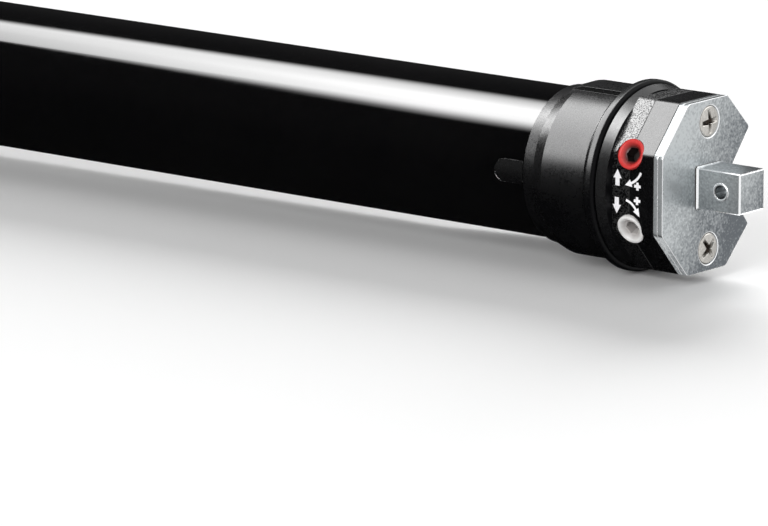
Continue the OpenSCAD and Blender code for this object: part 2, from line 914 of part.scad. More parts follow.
module bearing_shield(front) {
    color("silver") sleeve(front, front - shield_t, inner_r, bearing_d / 2 + seat_fit);
}

module front_shield() {
    bearing_shield(shield_1_front);
}

module rear_shield() {
    bearing_shield(shield_2_front);
}

module bearing(front) {
    color("goldenrod") sleeve(front, front - shield_t, bearing_d / 2, shaft_r + run_fit);
}

module front_bearing() {
    bearing(shield_1_front);
}

module rear_bearing() {
    bearing(shield_2_front);
}

module at_slots() {
    for (n = [0:slots - 1]) rotate(full_turn * n / slots) children();
}

module stator_core() {
    color("slategray") slab(stator_front, stator_back) difference() {
        circle(r = inner_r);
        circle(r = stator_r);
        at_slots() translate([stator_r - over, -slot_w / 2]) square([slot_r - stator_r + over, slot_w]);
    }
}

module stator_winding() {
    wedge = 1;
    coil_inset = 0.3;
    low_r = stator_r + wedge;
    high_r = slot_r - slot_gap;
    color("peru") {
        sleeve(stator_front + overhang, stator_front + slot_gap, high_r, low_r);
        sleeve(stator_back - slot_gap, stator_back - overhang, high_r, low_r);
        slab(stator_front + overhang, stator_back - overhang) at_slots()
            translate([low_r + coil_inset, slot_gap - slot_w / 2])
                square([high_r - low_r - 2 * coil_inset, slot_w - 2 * slot_gap]);
    }
}

module rotor_core() {
    color("gray") sleeve(stator_front, stator_back, rotor_r, shaft_r + seat_fit);
}

module rotor_shaft() {
    sun_front = stage_1_front + face_gap;
    color("silver") {
        rod(shaft_front, sun_front, shaft_r);
        slab(sun_front, stage_1_back) gear_2d(sun_z, gear_m);
    }
}

// Brake
module brake_pole() {
    color("slategray") sleeve(pole_front, pole_back, brake_r - brake_step, shaft_r + seat_fit);
}

module brake_spring() {
    spring_room = 0.5;
    spring_r = shaft_r + spring_room;
    color("silver")
        sleeve(pole_back - spring_gap, brake_front + spring_gap, spring_r + spring_wall, spring_r);
}

module brake_disc() {
    color("dimgray") sleeve(brake_front, brake_back, brake_r, shaft_r + run_fit);
}

module brake_lining() {
    lining_room = 4;
    color("saddlebrown") sleeve(lining_front, plate_front, brake_r - brake_step, shaft_r + lining_room);
}

module brake_plate() {
    shaft_room = 2;
    color("silver") sleeve(plate_front, plate_back, inner_r, shaft_r + shaft_room);
}

// Gearbox
module gearbox_ring() {
    color("darkgray") slab(ring_front, ring_end) difference() {
        circle(r = inner_r);
        inner_gear_2d(ring_z, gear_m);
    }
}

module at_planets() {
    for (k = [0:planets - 1]) rotate(full_turn / planets * k) translate([planet_orbit, 0]) children();
}

module carrier_body(front, back, pin_front) {
    rod(front, back, carrier_r);
    axial(front) at_planets() cylinder(h = pin_front - front, r = planet_pin_r);
}

module carrier_1() {
    color("silver") {
        carrier_body(plate_1_front, plate_1_back, stage_1_front);
        slab(plate_1_back, stage_2_back) gear_2d(sun_z, gear_m);
    }
}

module carrier_2() {
    color("silver") {
        carrier_body(plate_2_front, plate_2_back, stage_2_front);
        slab(plate_2_back, stage_3_back) gear_2d(sun_z, gear_m);
    }
}

module out_shaft_2d() {
    intersection() {
        circle(r = out_r);
        square([3 * out_r, out_flats], center = true);
    }
}

module output_carrier() {
    groove_room = 0.1;
    color("silver") difference() {
        union() {
            carrier_body(plate_3_front, plate_3_back, stage_3_front);
            rod(plate_3_back, bush_back, out_r);
            slab(bush_back, shaft_back) out_shaft_2d();
        }
        sleeve(clip_front + groove_room, clip_front - clip_t - groove_room, 2 * out_r, clip_seat_r);
    }
}

module planet(front, back, k) {
    turn = full_turn / planets * k;
    color("ivory") slab(front, back) rotate(turn) translate([planet_orbit, 0]) difference() {
        gear_2d(planet_z, gear_m);
        circle(r = planet_pin_r + run_fit);
    }
}

module planet_1a() {
    planet(stage_1_front, stage_1_back, 0);
}

module planet_1b() {
    planet(stage_1_front, stage_1_back, 1);
}

module planet_1c() {
    planet(stage_1_front, stage_1_back, 2);
}

module planet_2a() {
    planet(stage_2_front, stage_2_back, 0);
}

module planet_2b() {
    planet(stage_2_front, stage_2_back, 1);
}

module planet_2c() {
    planet(stage_2_front, stage_2_back, 2);
}

module planet_3a() {
    planet(stage_3_front, stage_3_back, 0);
}

module planet_3b() {
    planet(stage_3_front, stage_3_back, 1);
}

module planet_3c() {
    planet(stage_3_front, stage_3_back, 2);
}

// Drive end
module output_bush() {
    color("dimgray") difference() {
        union() {
            rod(bush_front, bush_back, inner_r);
            rod(tube_back - seat_fit, bush_back, tube_r);
        }
        rod(bush_front + over, bush_back - over, out_r + run_fit);
        at_tube_screws() cylinder(h = tube_r + over, r = tube_screw_r + seat_fit);
    }
}

module tube_screws() {
    slot_len = 3.2;
    slot_t = 0.8;
    slot_depth = 0.6;
    top = tube_r + seat_fit + tube_screw_head;
    color("silver") at_tube_screws() difference() {
        union() {
            translate([0, 0, tube_r + seat_fit]) cylinder(h = tube_screw_head, r = tube_screw_head_r);
            translate([0, 0, tube_r - tube_screw_depth])
                cylinder(h = tube_screw_depth + seat_fit, r = tube_screw_r);
        }
        for (a = [0, 90]) rotate(a) translate([0, 0, top])
            cube([slot_len, slot_t, 2 * slot_depth], center = true);
    }
}

module drive_wheel() {
    ribs = 6;
    rib_t = 2;
    rib_root = 1;
    rib_turn = full_turn / ribs / 2;
    rib_len = ring_r - wheel_rim / 2 - wheel_hub_r + rib_root;
    web_mid = wheel_front - wheel_len / 2;
    color("black") difference() {
        union() {
            sleeve(wheel_front, wheel_back, ring_r, ring_r - wheel_rim);
            rod(wheel_front, wheel_back, wheel_hub_r);
            slab(web_mid + wheel_web_t / 2, web_mid - wheel_web_t / 2) circle(r = ring_r - wheel_rim / 2);
            slab(wheel_front, wheel_back) for (n = [0:ribs - 1]) rotate(rib_turn + full_turn * n / ribs)
                translate([wheel_hub_r - rib_root, -rib_t / 2]) square([rib_len, rib_t]);
        }
        slab(wheel_front + over, wheel_back - over) intersection() {
            circle(r = out_r + seat_fit);
            square([3 * out_r, out_flats + 2 * seat_fit], center = true);
        }
        slab(wheel_front + over, wheel_back - over) keyways_2d(ring_r);
    }
}

module drive_wheel_clip() {
    grip = 1;
    clip_rim = 2.4;
    mouth = 2 * clip_seat_r - grip;
    color("silver") slab(clip_front, clip_front - clip_t) difference() {
        circle(r = out_r + clip_rim);
        circle(r = clip_seat_r + seat_fit);
        translate([-mouth / 2, 0]) square([mouth, 2 * out_r]);
    }
}

square_pin();
end_plate();
backing_plate();
end_plate_screws();
head_cap();
head_housing();
cable_grommet();
limit_screw_red();
limit_screw_white();
crown_ring();
crown_retainer();
motor_tube();
limit_frame();
limit_pinion();
counter_axle();
count_wheel_up_a();
count_wheel_up_b();
count_wheel_down_a();
count_wheel_down_b();
switch_up();
switch_down();
switch_lever_up();
switch_lever_down();
lever_pins();
terminal_block();
run_capacitor();
capacitor_clamps();
front_shield();
rear_shield();
front_bearing();
rear_bearing();
stator_core();
stator_winding();
rotor_core();
rotor_shaft();
brake_pole();
brake_spring();
brake_disc();
brake_lining();
brake_plate();
gearbox_ring();
carrier_1();
carrier_2();
output_carrier();
planet_1a();
planet_1b();
planet_1c();
planet_2a();
planet_2b();
planet_2c();
planet_3a();
planet_3b();
planet_3c();
output_bush();
tube_screws();
drive_wheel();
drive_wheel_clip();
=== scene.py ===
# %% [markdown]
# # A tubular roller blind motor
#
# This lesson dresses the solids of a roller blind motor: a long gloss black tube, a turning crown, a
# plastic head with two limit screws and a zinc end plate with a square pin. The solids come from the
# imported frame, in metres, and they stay where they are. We keep the box round them, and the floor is
# laid under it.

# %% Load the frame
import json
import math

import bmesh
import bpy
from mathutils import Matrix, Vector


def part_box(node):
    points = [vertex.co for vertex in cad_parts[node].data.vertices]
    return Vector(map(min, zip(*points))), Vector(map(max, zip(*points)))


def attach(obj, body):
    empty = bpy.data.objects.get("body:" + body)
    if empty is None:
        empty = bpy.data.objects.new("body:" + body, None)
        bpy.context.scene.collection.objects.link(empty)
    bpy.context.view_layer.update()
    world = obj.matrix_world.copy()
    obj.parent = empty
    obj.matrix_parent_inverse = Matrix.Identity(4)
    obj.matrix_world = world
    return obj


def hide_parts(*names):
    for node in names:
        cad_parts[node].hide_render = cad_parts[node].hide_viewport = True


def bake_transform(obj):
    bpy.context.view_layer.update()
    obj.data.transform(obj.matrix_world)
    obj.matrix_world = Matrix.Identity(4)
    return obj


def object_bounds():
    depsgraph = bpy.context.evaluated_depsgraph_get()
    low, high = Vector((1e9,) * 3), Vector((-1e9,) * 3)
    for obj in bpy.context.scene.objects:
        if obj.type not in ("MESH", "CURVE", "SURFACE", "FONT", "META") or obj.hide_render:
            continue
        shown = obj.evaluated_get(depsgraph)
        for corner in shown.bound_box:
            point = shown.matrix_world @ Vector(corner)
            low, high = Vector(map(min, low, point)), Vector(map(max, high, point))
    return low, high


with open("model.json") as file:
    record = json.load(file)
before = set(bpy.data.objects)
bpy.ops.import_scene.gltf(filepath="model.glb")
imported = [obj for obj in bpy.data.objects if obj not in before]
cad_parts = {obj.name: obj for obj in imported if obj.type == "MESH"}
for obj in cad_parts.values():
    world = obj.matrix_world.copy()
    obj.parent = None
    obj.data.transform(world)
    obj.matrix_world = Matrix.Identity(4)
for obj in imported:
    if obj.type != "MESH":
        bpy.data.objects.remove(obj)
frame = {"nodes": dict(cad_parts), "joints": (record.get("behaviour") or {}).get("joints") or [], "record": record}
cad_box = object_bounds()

MM = 0.001
scene = bpy.context.scene
nodes = frame["nodes"]
record = frame["record"]
body_of = {node: body for body, members in record["behaviour"]["bodies"].items() for node in members}
slot_of = {part["node"]: part["material_slot"] for part in record["subparts"]}
joint_of = {joint["name"]: joint for joint in frame["joints"]}

# %% [markdown]
# ## Camera
#
# The picture was taken with a long lens from the motor's front left, a little above it. The turn, the
# tilt and the distance were worked out from the tube's edges, the plate's corners and the pin. A camera
# can be aimed with a constraint, but writing its own axes as a matrix keeps it exact and leaves nothing
# to update.

# %% Camera at the picture's angle
TURN = math.radians(39.05)
TILT = math.radians(12.41)
DISTANCE = 1.80746
SLIDE_RIGHT = -0.09363
SLIDE_UP = -0.02243
FOCAL_PIXELS = 6270.24
PICTURE_WIDTH = 768

back = Vector((math.sin(TURN) * math.cos(TILT), -math.cos(TURN) * math.cos(TILT), math.sin(TILT)))
right = Vector((math.cos(TURN), math.sin(TURN), 0))
up = back.cross(right)

lens = bpy.data.cameras.new("picture_lens")
lens.lens = FOCAL_PIXELS / PICTURE_WIDTH * lens.sensor_width
camera = bpy.data.objects.new("picture_camera", lens)
camera.matrix_world = Matrix((right, up, back)).transposed().to_4x4()
camera.location = SLIDE_RIGHT * right + SLIDE_UP * up + DISTANCE * back
scene.collection.objects.link(camera)
scene.camera = camera
scene.view_settings.view_transform = "Standard"
print("lens", round(lens.lens, 1), "mm at", [round(c, 3) for c in camera.location])

# %% [markdown]
# ## Node helpers
#
# Every finish below is made of shader nodes. A few small helpers keep them readable: one puts a node in
# a tree and fills its inputs, by a value or by a link, one opens a node group with named sockets, and
# the others stand for nodes that are used again and again.

# %% Helpers for shader nodes
def put(tree, kind, inputs=None, **settings):
    """Adds a shader node; an input that is given a socket is linked, any other is set."""
    node = tree.nodes.new("ShaderNode" + kind)
    for name, value in settings.items():
        setattr(node, name, value)
    for name, value in (inputs or {}).items():
        if isinstance(value, bpy.types.NodeSocket):
            tree.links.new(value, node.inputs[name])
        else:
            node.inputs[name].default_value = value
    return node


def effect_group(name, inputs, outputs):
    """An empty node group whose sockets are all plain numbers."""
    tree = bpy.data.node_groups.new(name, "ShaderNodeTree")
    for label, value in inputs.items():
        socket = tree.interface.new_socket(name=label, in_out="INPUT", socket_type="NodeSocketFloat")
        socket.default_value = value
    for label in outputs:
        tree.interface.new_socket(name=label, in_out="OUTPUT", socket_type="NodeSocketFloat")
    return tree, tree.nodes.new("NodeGroupInput").outputs, tree.nodes.new("NodeGroupOutput").inputs


def place(tree, group, **values):
    """Puts an effect group into a material with its own values."""
    node = tree.nodes.new("ShaderNodeGroup")
    node.node_tree = group
    for label, value in values.items():
        node.inputs[label].default_value = value
    return node.outputs


print("node helpers ready")

# %% Helpers for numbers and colours
def combine(tree, operation, first, second):
    """One Math node on two sockets or numbers."""
    return put(tree, "Math", {0: first, 1: second}, operation=operation).outputs[0]


def spread(tree, value, low, high, to_low=0.0, to_high=1.0):
    """Maps a value from one span to another, with smooth ends."""
    node = put(tree, "MapRange", {"Value": value}, interpolation_type="SMOOTHSTEP")
    for label, number in (("From Min", low), ("From Max", high), ("To Min", to_low), ("To Max", to_high)):
        node.inputs[label].default_value = number
    return node.outputs["Result"]


def tint(tree, value, stops):
    """A colour ramp through the given (place, colour) stops."""
    node = put(tree, "ValToRGB", {"Fac": value})
    points = node.color_ramp.elements
    while len(points) < len(stops):
        points.new(0.5)
    for point, (at, colour) in zip(points, stops):
        point.position = at
        point.color = (*colour, 1)
    return node.outputs["Color"]


def blend(tree, share, first, second):
    """Mixes two colours, sockets or plain ones, by a share."""
    return put(tree, "Mix", {0: share, 6: first, 7: second}, data_type="RGBA").outputs[2]


def attribute(tree, name):
    """A number that a mesh carries; a mesh without it gives 0."""
    return put(tree, "Attribute", attribute_name=name).outputs["Fac"]


print("number and colour helpers ready")

# %% [markdown]
# ## Effects that several finishes share
#
# Moulded plastic has the fine grain of its mould. Plated and bare metal has spangle, patches of
# crystals that reflect differently. Handling leaves hairline marks on any smooth face, and stacked
# sheets or wound wire show close lines. Each is a node group that puts out numbers alone, so that every
# finish can use them in its own way.

# %% Mould grain
COARSE_SHARE = 0.06
mould_grain, given, made = effect_group("mould_grain", {"Scale": 2000.0}, ["Height", "Tone"])
grain_place = put(mould_grain, "TexCoord").outputs["Object"]
fine = put(mould_grain, "TexNoise", {"Vector": grain_place, "Scale": given["Scale"], "Detail": 3.0})
coarse_scale = combine(mould_grain, "MULTIPLY", given["Scale"], COARSE_SHARE)
coarse = put(mould_grain, "TexNoise", {"Vector": grain_place, "Scale": coarse_scale, "Detail": 2.0})
mould_grain.links.new(fine.outputs[0], made["Height"])
mixed = combine(mould_grain, "ADD", fine.outputs[0], coarse.outputs[0])
mould_grain.links.new(combine(mould_grain, "MULTIPLY", mixed, 0.5), made["Tone"])
print("mould_grain:", len(mould_grain.nodes), "nodes")

# %% Metal spangle
metal_spangle, given, made = effect_group("metal_spangle", {"Scale": 700.0}, ["Height", "Tone"])
spangle_place = put(metal_spangle, "TexCoord").outputs["Object"]
warp = put(metal_spangle, "TexNoise", {"Vector": spangle_place, "Scale": given["Scale"], "Detail": 4.0})
crystal_inputs = {"Vector": spangle_place, "Scale": given["Scale"]}
crystals = put(metal_spangle, "TexVoronoi", crystal_inputs, feature="SMOOTH_F1")
crystal_tone = put(metal_spangle, "SeparateColor", {"Color": crystals.outputs["Color"]}).outputs[0]
cloud_scale = combine(metal_spangle, "MULTIPLY", given["Scale"], COARSE_SHARE)
clouds = put(metal_spangle, "TexNoise", {"Vector": spangle_place, "Scale": cloud_scale, "Detail": 3.0})
patches = combine(metal_spangle, "ADD", crystal_tone, warp.outputs[0])
patches = combine(metal_spangle, "ADD", patches, clouds.outputs[0])
metal_spangle.links.new(combine(metal_spangle, "MULTIPLY", patches, 1 / 3), made["Tone"])
metal_spangle.links.new(warp.outputs[0], made["Height"])
print("metal_spangle:", len(metal_spangle.nodes), "nodes")

# %% Handling marks
NOISE_MIDDLE = 0.5
PATCH_SHARE = 0.35
handling_marks, given, made = effect_group("handling_marks", {"Scale": 60.0, "Width": 0.012}, ["Mask"])
mark_place = put(handling_marks, "TexCoord").outputs["Object"]
swirl_inputs = {"Vector": mark_place, "Scale": given["Scale"], "Detail": 1.0, "Distortion": 2.0}
swirl = put(handling_marks, "TexNoise", swirl_inputs)
offset = combine(handling_marks, "SUBTRACT", swirl.outputs[0], NOISE_MIDDLE)
offset = combine(handling_marks, "ABSOLUTE", offset, 0.0)
widths_off = combine(handling_marks, "DIVIDE", offset, given["Width"])
hairline = combine(handling_marks, "SUBTRACT", 1.0, widths_off)
hairline = combine(handling_marks, "MAXIMUM", hairline, 0.0)
patch_scale = combine(handling_marks, "MULTIPLY", given["Scale"], PATCH_SHARE)
patch = put(handling_marks, "TexNoise", {"Vector": mark_place, "Scale": patch_scale, "Detail": 2.0})
worn = combine(handling_marks, "MULTIPLY", hairline, patch.outputs[0])
handling_marks.links.new(worn, made["Mask"])
print("handling_marks:", len(handling_marks.nodes), "nodes")

# %% Stacked lines
stacked_lines, given, made = effect_group("stacked_lines", {"Lines per metre": 2000.0}, ["Height"])
line_at = put(stacked_lines, "TexCoord").outputs["Object"]
line_place = put(stacked_lines, "SeparateXYZ", {0: line_at}).outputs["X"]
count = combine(stacked_lines, "MULTIPLY", line_place, given["Lines per metre"])
saw = combine(stacked_lines, "PINGPONG", count, 0.5)
stacked_lines.links.new(combine(stacked_lines, "MULTIPLY", saw, 2.0), made["Height"])
print("stacked_lines:", len(stacked_lines.nodes), "nodes")

# %% [markdown]
# ## Finishes
#
# A finish starts from a plain shader. What varies over the surface, such as colour, roughness and the
# small relief of a bump, comes from the groups above, and what is the same all over is set on the
# shader itself.

# %% A blank finish
finishes = {}


def empty_material(name):
    """A new material without nodes."""
    material = bpy.data.materials.new(name)
    material.use_nodes = True
    material.node_tree.nodes.clear()
    return material


def blank_finish(name, metallic=0.0, specular=0.5):
    """A new material with a Principled shader, kept by its name."""
    material = empty_material(name)
    tree = material.node_tree
    shader = put(tree, "BsdfPrincipled", {"Metallic": metallic, "Specular IOR Level": specular})
    put(tree, "OutputMaterial", {"Surface": shader.outputs[0]})
    finishes[name] = material
    return tree, shader.inputs


def relief(tree, shader, height, depth):
    """Fine relief from a height between 0 and 1, as deep as the given length."""
    bump = put(tree, "Bump", {"Height": height, "Distance": depth, "Strength": 1.0})
    tree.links.new(bump.outputs[0], shader["Normal"])


print("finishes start empty")

# %% [markdown]
# The plates, the pin and the screws are zinc plated steel. Zinc is a grey mirror broken up by its
# spangle, so the same tone drives the colour and the roughness. On the zinc finish, painted shade
# darkens the tone along one direction, towards the cable side and the bottom. The screws were plated
# apart from the plate and have a warmer tone. Painted shade darkens the bottom of their recess and the
# seam round their heads, and bright painted highlights lie on eased edges and chamfers.

# %% Zinc plating
# Colours of the painted highlight on marked edges and of the painted shade in sunk places
PAINTED_HIGHLIGHT = (0.93, 0.94, 0.95, 1)
PAINTED_SHADE = (0.035, 0.027, 0.022, 1)
SHADED_SIDE = (0, 0.86, -0.5)
DRIFT_REACH = 0.02
ZINC_TONES = (0.34, 0.66)
EDGE_SHEEN = 0.1


def plated(name, dark, light, spangle, rough, depth, shade_drift=0.0):
    """Plated or cast metal with spangle. Marks on the mesh say where a highlight and where shade is painted."""
    tree, shader = blank_finish(name, metallic=1.0)
    surface = place(tree, metal_spangle, Scale=spangle)
    at = put(tree, "TexCoord").outputs["Object"]
    # Painted shade: the tone darkens along one direction, towards the cable side and the bottom.
    along = put(tree, "VectorMath", {0: at, 1: SHADED_SIDE}, operation="DOT_PRODUCT").outputs["Value"]
    painted_shading = spread(tree, along, -DRIFT_REACH, DRIFT_REACH, shade_drift, -shade_drift)
    edge = attribute(tree, "edge")
    face = tint(tree, combine(tree, "ADD", surface["Tone"], painted_shading), [(0.2, dark), (0.8, light)])
    # Painted shade: places marked "depth" turn near black.
    face = blend(tree, attribute(tree, "depth"), face, PAINTED_SHADE)
    # Painted highlight: faces marked "edge" turn near white.
    tree.links.new(blend(tree, edge, face, PAINTED_HIGHLIGHT), shader["Base Color"])
    base = spread(tree, surface["Tone"], *ZINC_TONES, rough[1], rough[0])
    smoother = combine(tree, "MULTIPLY", edge, EDGE_SHEEN)
    tree.links.new(combine(tree, "SUBTRACT", base, smoother), shader["Roughness"])
    relief(tree, shader, surface["Height"], depth)


plated("zinc", (0.15, 0.165, 0.18), (0.60, 0.63, 0.64), 1800.0, (0.28, 0.40), 5e-6, shade_drift=0.3)
plated("screw_zinc", (0.42, 0.405, 0.38), (0.74, 0.72, 0.68), 2200.0, (0.24, 0.34), 4e-6)
plated("die_cast", (0.50, 0.51, 0.52), (0.72, 0.73, 0.74), 500.0, (0.40, 0.55), 3e-5)
print("plated:", sorted(finishes))

# %% [markdown]
# The tube is stove enamelled in high gloss black. Its base is almost black everywhere, and the broad
# white band on it is a reflection, so the finish needs a smooth, hard surface more than it needs
# colour. Wiping leaves faint marks that only change the roughness.

# %% Gloss black enamel
WIPED_MASK = (0.0, 0.6)
TUBE_ROUGH = (0.05, 0.075)
PEEL_DEPTH = 2e-7
tree, shader = blank_finish("tube_black", specular=0.3)
wiped = place(tree, handling_marks, Scale=45.0, Width=0.05)["Mask"]
peel = place(tree, mould_grain, Scale=420.0)
enamel = tint(tree, peel["Tone"], [(0.3, (0.0035, 0.0035, 0.004)), (0.7, (0.007, 0.0068, 0.0072))])
tree.links.new(enamel, shader["Base Color"])
tree.links.new(spread(tree, wiped, *WIPED_MASK, *TUBE_ROUGH), shader["Roughness"])
relief(tree, shader, peel["Height"], PEEL_DEPTH)
print("tube_black ready")

# %% [markdown]
# The head, the crown and the drive wheel are moulded black plastic. The head's cap is nearly smooth,
# its housing has a spark-eroded grain that glitters, and the crown is satin. All of them share one
# recipe with other numbers. The limit screws' funnels and sockets get painted shade: grey on the white
# screw, which also lets light in, and near black on the red one.

# %% Recipe for moulded plastic
GRAIN_TONES = (0.3, 0.7)
SPECK_HEIGHTS = (0.46, 0.6)
MARK_SHEEN = 0.1


def moulded(name, dark, light, grain, depth, rough, specular=0.5, sunk=None, scatter=0.0, specks=None):
    """Moulded plastic: the grain moves its tone, roughness and relief. It may have painted shade in sunk
    places, let light in or have specks of another roughness."""
    tree, shader = blank_finish(name, specular=specular)
    if scatter:
        shader["Subsurface Weight"].default_value = 1.0
        shader["Subsurface Radius"].default_value = (1, 1, 1)
        shader["Subsurface Scale"].default_value = scatter
    surface = place(tree, mould_grain, Scale=grain)
    marks = place(tree, handling_marks, Scale=70.0, Width=0.015)["Mask"]
    colour = tint(tree, surface["Tone"], [(0.35, dark), (0.65, light)])
    # Painted shade: places marked "depth" blend to the sunk colour.
    if sunk:
        colour = blend(tree, attribute(tree, "depth"), colour, (*sunk, 1))
    tree.links.new(colour, shader["Base Color"])
    if specks:
        base = spread(tree, surface["Height"], *SPECK_HEIGHTS, rough[0], specks)
    else:
        base = spread(tree, surface["Tone"], *GRAIN_TONES, rough[0], rough[1])
    smoother = combine(tree, "MULTIPLY", marks, MARK_SHEEN)
    tree.links.new(combine(tree, "SUBTRACT", base, smoother), shader["Roughness"])
    relief(tree, shader, surface["Height"], depth)


print("recipe ready")

# %% Moulded plastics
# Colours of the painted shade in the limit screws' funnels and sockets
RED_HOLE_SHADE = (0.012, 0.006, 0.005)
WHITE_HOLE_SHADE = (0.44, 0.42, 0.41)
moulded("head_smooth", (0.005, 0.005, 0.006), (0.009, 0.009, 0.010), 900.0, 1.5e-6, (0.25, 0.31), 0.46)
moulded("head_grained", (0.005, 0.005, 0.006), (0.012, 0.012, 0.013), 2200.0, 1.1e-4, (0.20, 0.30), 0.75,
        specks=0.62)
moulded("crown_black", (0.004, 0.004, 0.005), (0.008, 0.008, 0.009), 1500.0, 5e-6, (0.24, 0.32), 0.3)
moulded("matt_black", (0.004, 0.004, 0.005), (0.008, 0.008, 0.009), 1500.0, 5e-6, (0.32, 0.42), 0.06)
moulded("red_plastic", (0.52, 0.028, 0.026), (0.63, 0.045, 0.041), 900.0, 5e-6, (0.34, 0.46), sunk=RED_HOLE_SHADE)
moulded("white_plastic", (0.64, 0.63, 0.62), (0.74, 0.73, 0.72), 900.0, 5e-6, (0.36, 0.48), sunk=WHITE_HOLE_SHADE,
        scatter=0.002)
moulded("white_print", (0.74, 0.73, 0.75), (0.88, 0.87, 0.89), 1600.0, 8e-6, (0.55, 0.70))
moulded("grommet_rubber", (0.010, 0.010, 0.010), (0.020, 0.020, 0.020), 1400.0, 1.5e-5, (0.60, 0.78))
moulded("grey_plastic", (0.15, 0.155, 0.165), (0.21, 0.215, 0.225), 1300.0, 9e-6, (0.42, 0.55))
moulded("nylon", (0.66, 0.60, 0.47), (0.78, 0.73, 0.60), 800.0, 6e-6, (0.38, 0.50))
moulded("switch_plastic", (0.012, 0.014, 0.020), (0.022, 0.025, 0.032), 1500.0, 7e-6, (0.40, 0.52))
moulded("terminal_green", (0.012, 0.11, 0.035), (0.022, 0.16, 0.055), 1200.0, 7e-6, (0.36, 0.48))
moulded("capacitor_blue", (0.24, 0.30, 0.38), (0.30, 0.37, 0.46), 600.0, 5e-6, (0.26, 0.36))
moulded("lining", (0.045, 0.024, 0.014), (0.12, 0.065, 0.038), 1100.0, 6e-5, (0.75, 0.92))
print("plastics:", len(finishes))

# %% [markdown]
# Inside the tube are turned steel, sintered bronze, stacked motor sheets and copper wire. Turning,
# stacking and winding all leave lines round the motor's axis, so these finishes share the line group.

# %% Turned, stacked and wound metals
LINE_SHARE = 0.25
LINED_TONES = (0.4, 0.8)


def lined_metal(name, dark, light, lines, depth, rough):
    """Bare metal whose lines run round the motor's axis."""
    tree, shader = blank_finish(name, metallic=1.0)
    surface = place(tree, metal_spangle, Scale=350.0)
    lines_height = place(tree, stacked_lines, **{"Lines per metre": lines})["Height"]
    blended = combine(tree, "ADD", surface["Tone"], combine(tree, "MULTIPLY", lines_height, LINE_SHARE))
    tree.links.new(tint(tree, blended, [(0.42, dark), (0.82, light)]), shader["Base Color"])
    tree.links.new(spread(tree, blended, *LINED_TONES, rough[1], rough[0]), shader["Roughness"])
    relief(tree, shader, lines_height, depth)


lined_metal("steel", (0.40, 0.40, 0.41), (0.66, 0.66, 0.67), 3000.0, 1e-5, (0.24, 0.38))
lined_metal("bronze", (0.40, 0.25, 0.09), (0.62, 0.42, 0.17), 2500.0, 1e-5, (0.36, 0.50))
lined_metal("lamination", (0.10, 0.10, 0.11), (0.24, 0.24, 0.26), 2000.0, 6e-5, (0.38, 0.55))
lined_metal("copper", (0.42, 0.17, 0.07), (0.72, 0.34, 0.15), 1600.0, 2e-4, (0.26, 0.40))
print("finishes:", sorted(finishes))

# %% [markdown]
# Most inner solids have the right shape already. They stay as they are and take the finish of their
# slot. A CAD solid is never moved or changed, so only its material slots are filled here.

# %% Finishes on the solids
for name, node in nodes.items():
    finish = finishes.get(slot_of[name], finishes["head_smooth"])
    for slot in node.material_slots:
        slot.material = finish
print("dressed", len(nodes), "solids")

# %% [markdown]
# ## Eased edges
#
# A solid straight from the drawing has knife edges, and those look wrong at once: real edges are
# coined, moulded or broken, and they catch the light. A Bevel modifier could round them all alike, but
# a plate's corners are rounder than its rims. So a copy of the mesh is welded, its flat faces are
# joined, and chosen edges are beveled in passes. The Weighted Normal modifier then keeps the big faces
# flat.

# %% Pieces that stand for solids
def linked(name, data):
    """Makes an object of a mesh or a lamp and puts it in the scene."""
    thing = bpy.data.objects.new(name, data)
    scene.collection.objects.link(thing)
    return thing


def stand_in(name, mesh, finish=None, suffix="_eased"):
    """Links a mesh as the piece that stands for a CAD solid and rides on its body."""
    mesh.materials.clear()
    mesh.materials.append(finish or finishes[slot_of[name]])
    piece = linked(name + suffix, mesh)
    normals = piece.modifiers.new("flat_faces", "WEIGHTED_NORMAL")
    normals.keep_sharp = True
    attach(piece, body_of[name])
    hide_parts(name)
    return piece


def refinish(piece, finish, chosen):
    """Gives another finish to the faces that a test picks."""
    index = len(piece.data.materials)
    piece.data.materials.append(finishes[finish])
    for face in piece.data.polygons:
        if chosen(face):
            face.material_index = index


print("pieces can stand for solids")

# %% The easing tool
EASE_ANGLE = math.radians(25)
CREASE_ANGLE = math.radians(14)
FLAT_ANGLE = math.radians(1)
WELD = 2e-6
SHORTEST_EDGE = 0.08 * MM


def sharp_edges(bm, chosen):
    """The sharp edges that a test picks, leaving out the shortest ones."""
    return [
        edge for edge in bm.edges
        if edge.is_manifold and edge.calc_face_angle(0) > EASE_ANGLE and edge.calc_length() > SHORTEST_EDGE
        and chosen((edge.verts[0].co + edge.verts[1].co) / 2, edge.verts[1].co - edge.verts[0].co)
    ]


def eased(name, passes, finish=None, weld=WELD):
    """A copy of a CAD solid with rounded edges, which stands for it. A pass is (width, segments, test)."""
    bm = bmesh.new()
    bm.from_mesh(nodes[name].data)
    bmesh.ops.remove_doubles(bm, verts=bm.verts, dist=weld)
    bmesh.ops.dissolve_limit(bm, angle_limit=FLAT_ANGLE, verts=bm.verts, edges=bm.edges)
    painted_highlight_mark = bm.faces.layers.float.new("edge")
    for face in bm.faces:
        face.smooth = True
    for edge in bm.edges:
        edge.smooth = edge.calc_face_angle(0) < CREASE_ANGLE
    for width, segments, chosen in passes:
        picked = sharp_edges(bm, chosen)
        for edge in picked:
            edge.smooth = True
        rounded = bmesh.ops.bevel(
            bm, geom=picked, offset=width, segments=segments, profile=0.5, affect="EDGES", clamp_overlap=True
        )
        # Every rounded face is marked for a painted highlight, which the metal finishes show near white.
        for face in rounded["faces"]:
            face[painted_highlight_mark] = 1
    mesh = bpy.data.meshes.new(name + "_eased")
    bm.to_mesh(mesh)
    bm.free()
    return stand_in(name, mesh, finish)


print("easing tool ready")

# %% Tests that pick edges
ALONG_AXIS = 0.99


def anywhere(middle, along):
    return True


def corner(middle, along):
    """Edges along the motor's axis."""
    return abs(along.x) > ALONG_AXIS * along.length


print("edge tests ready")

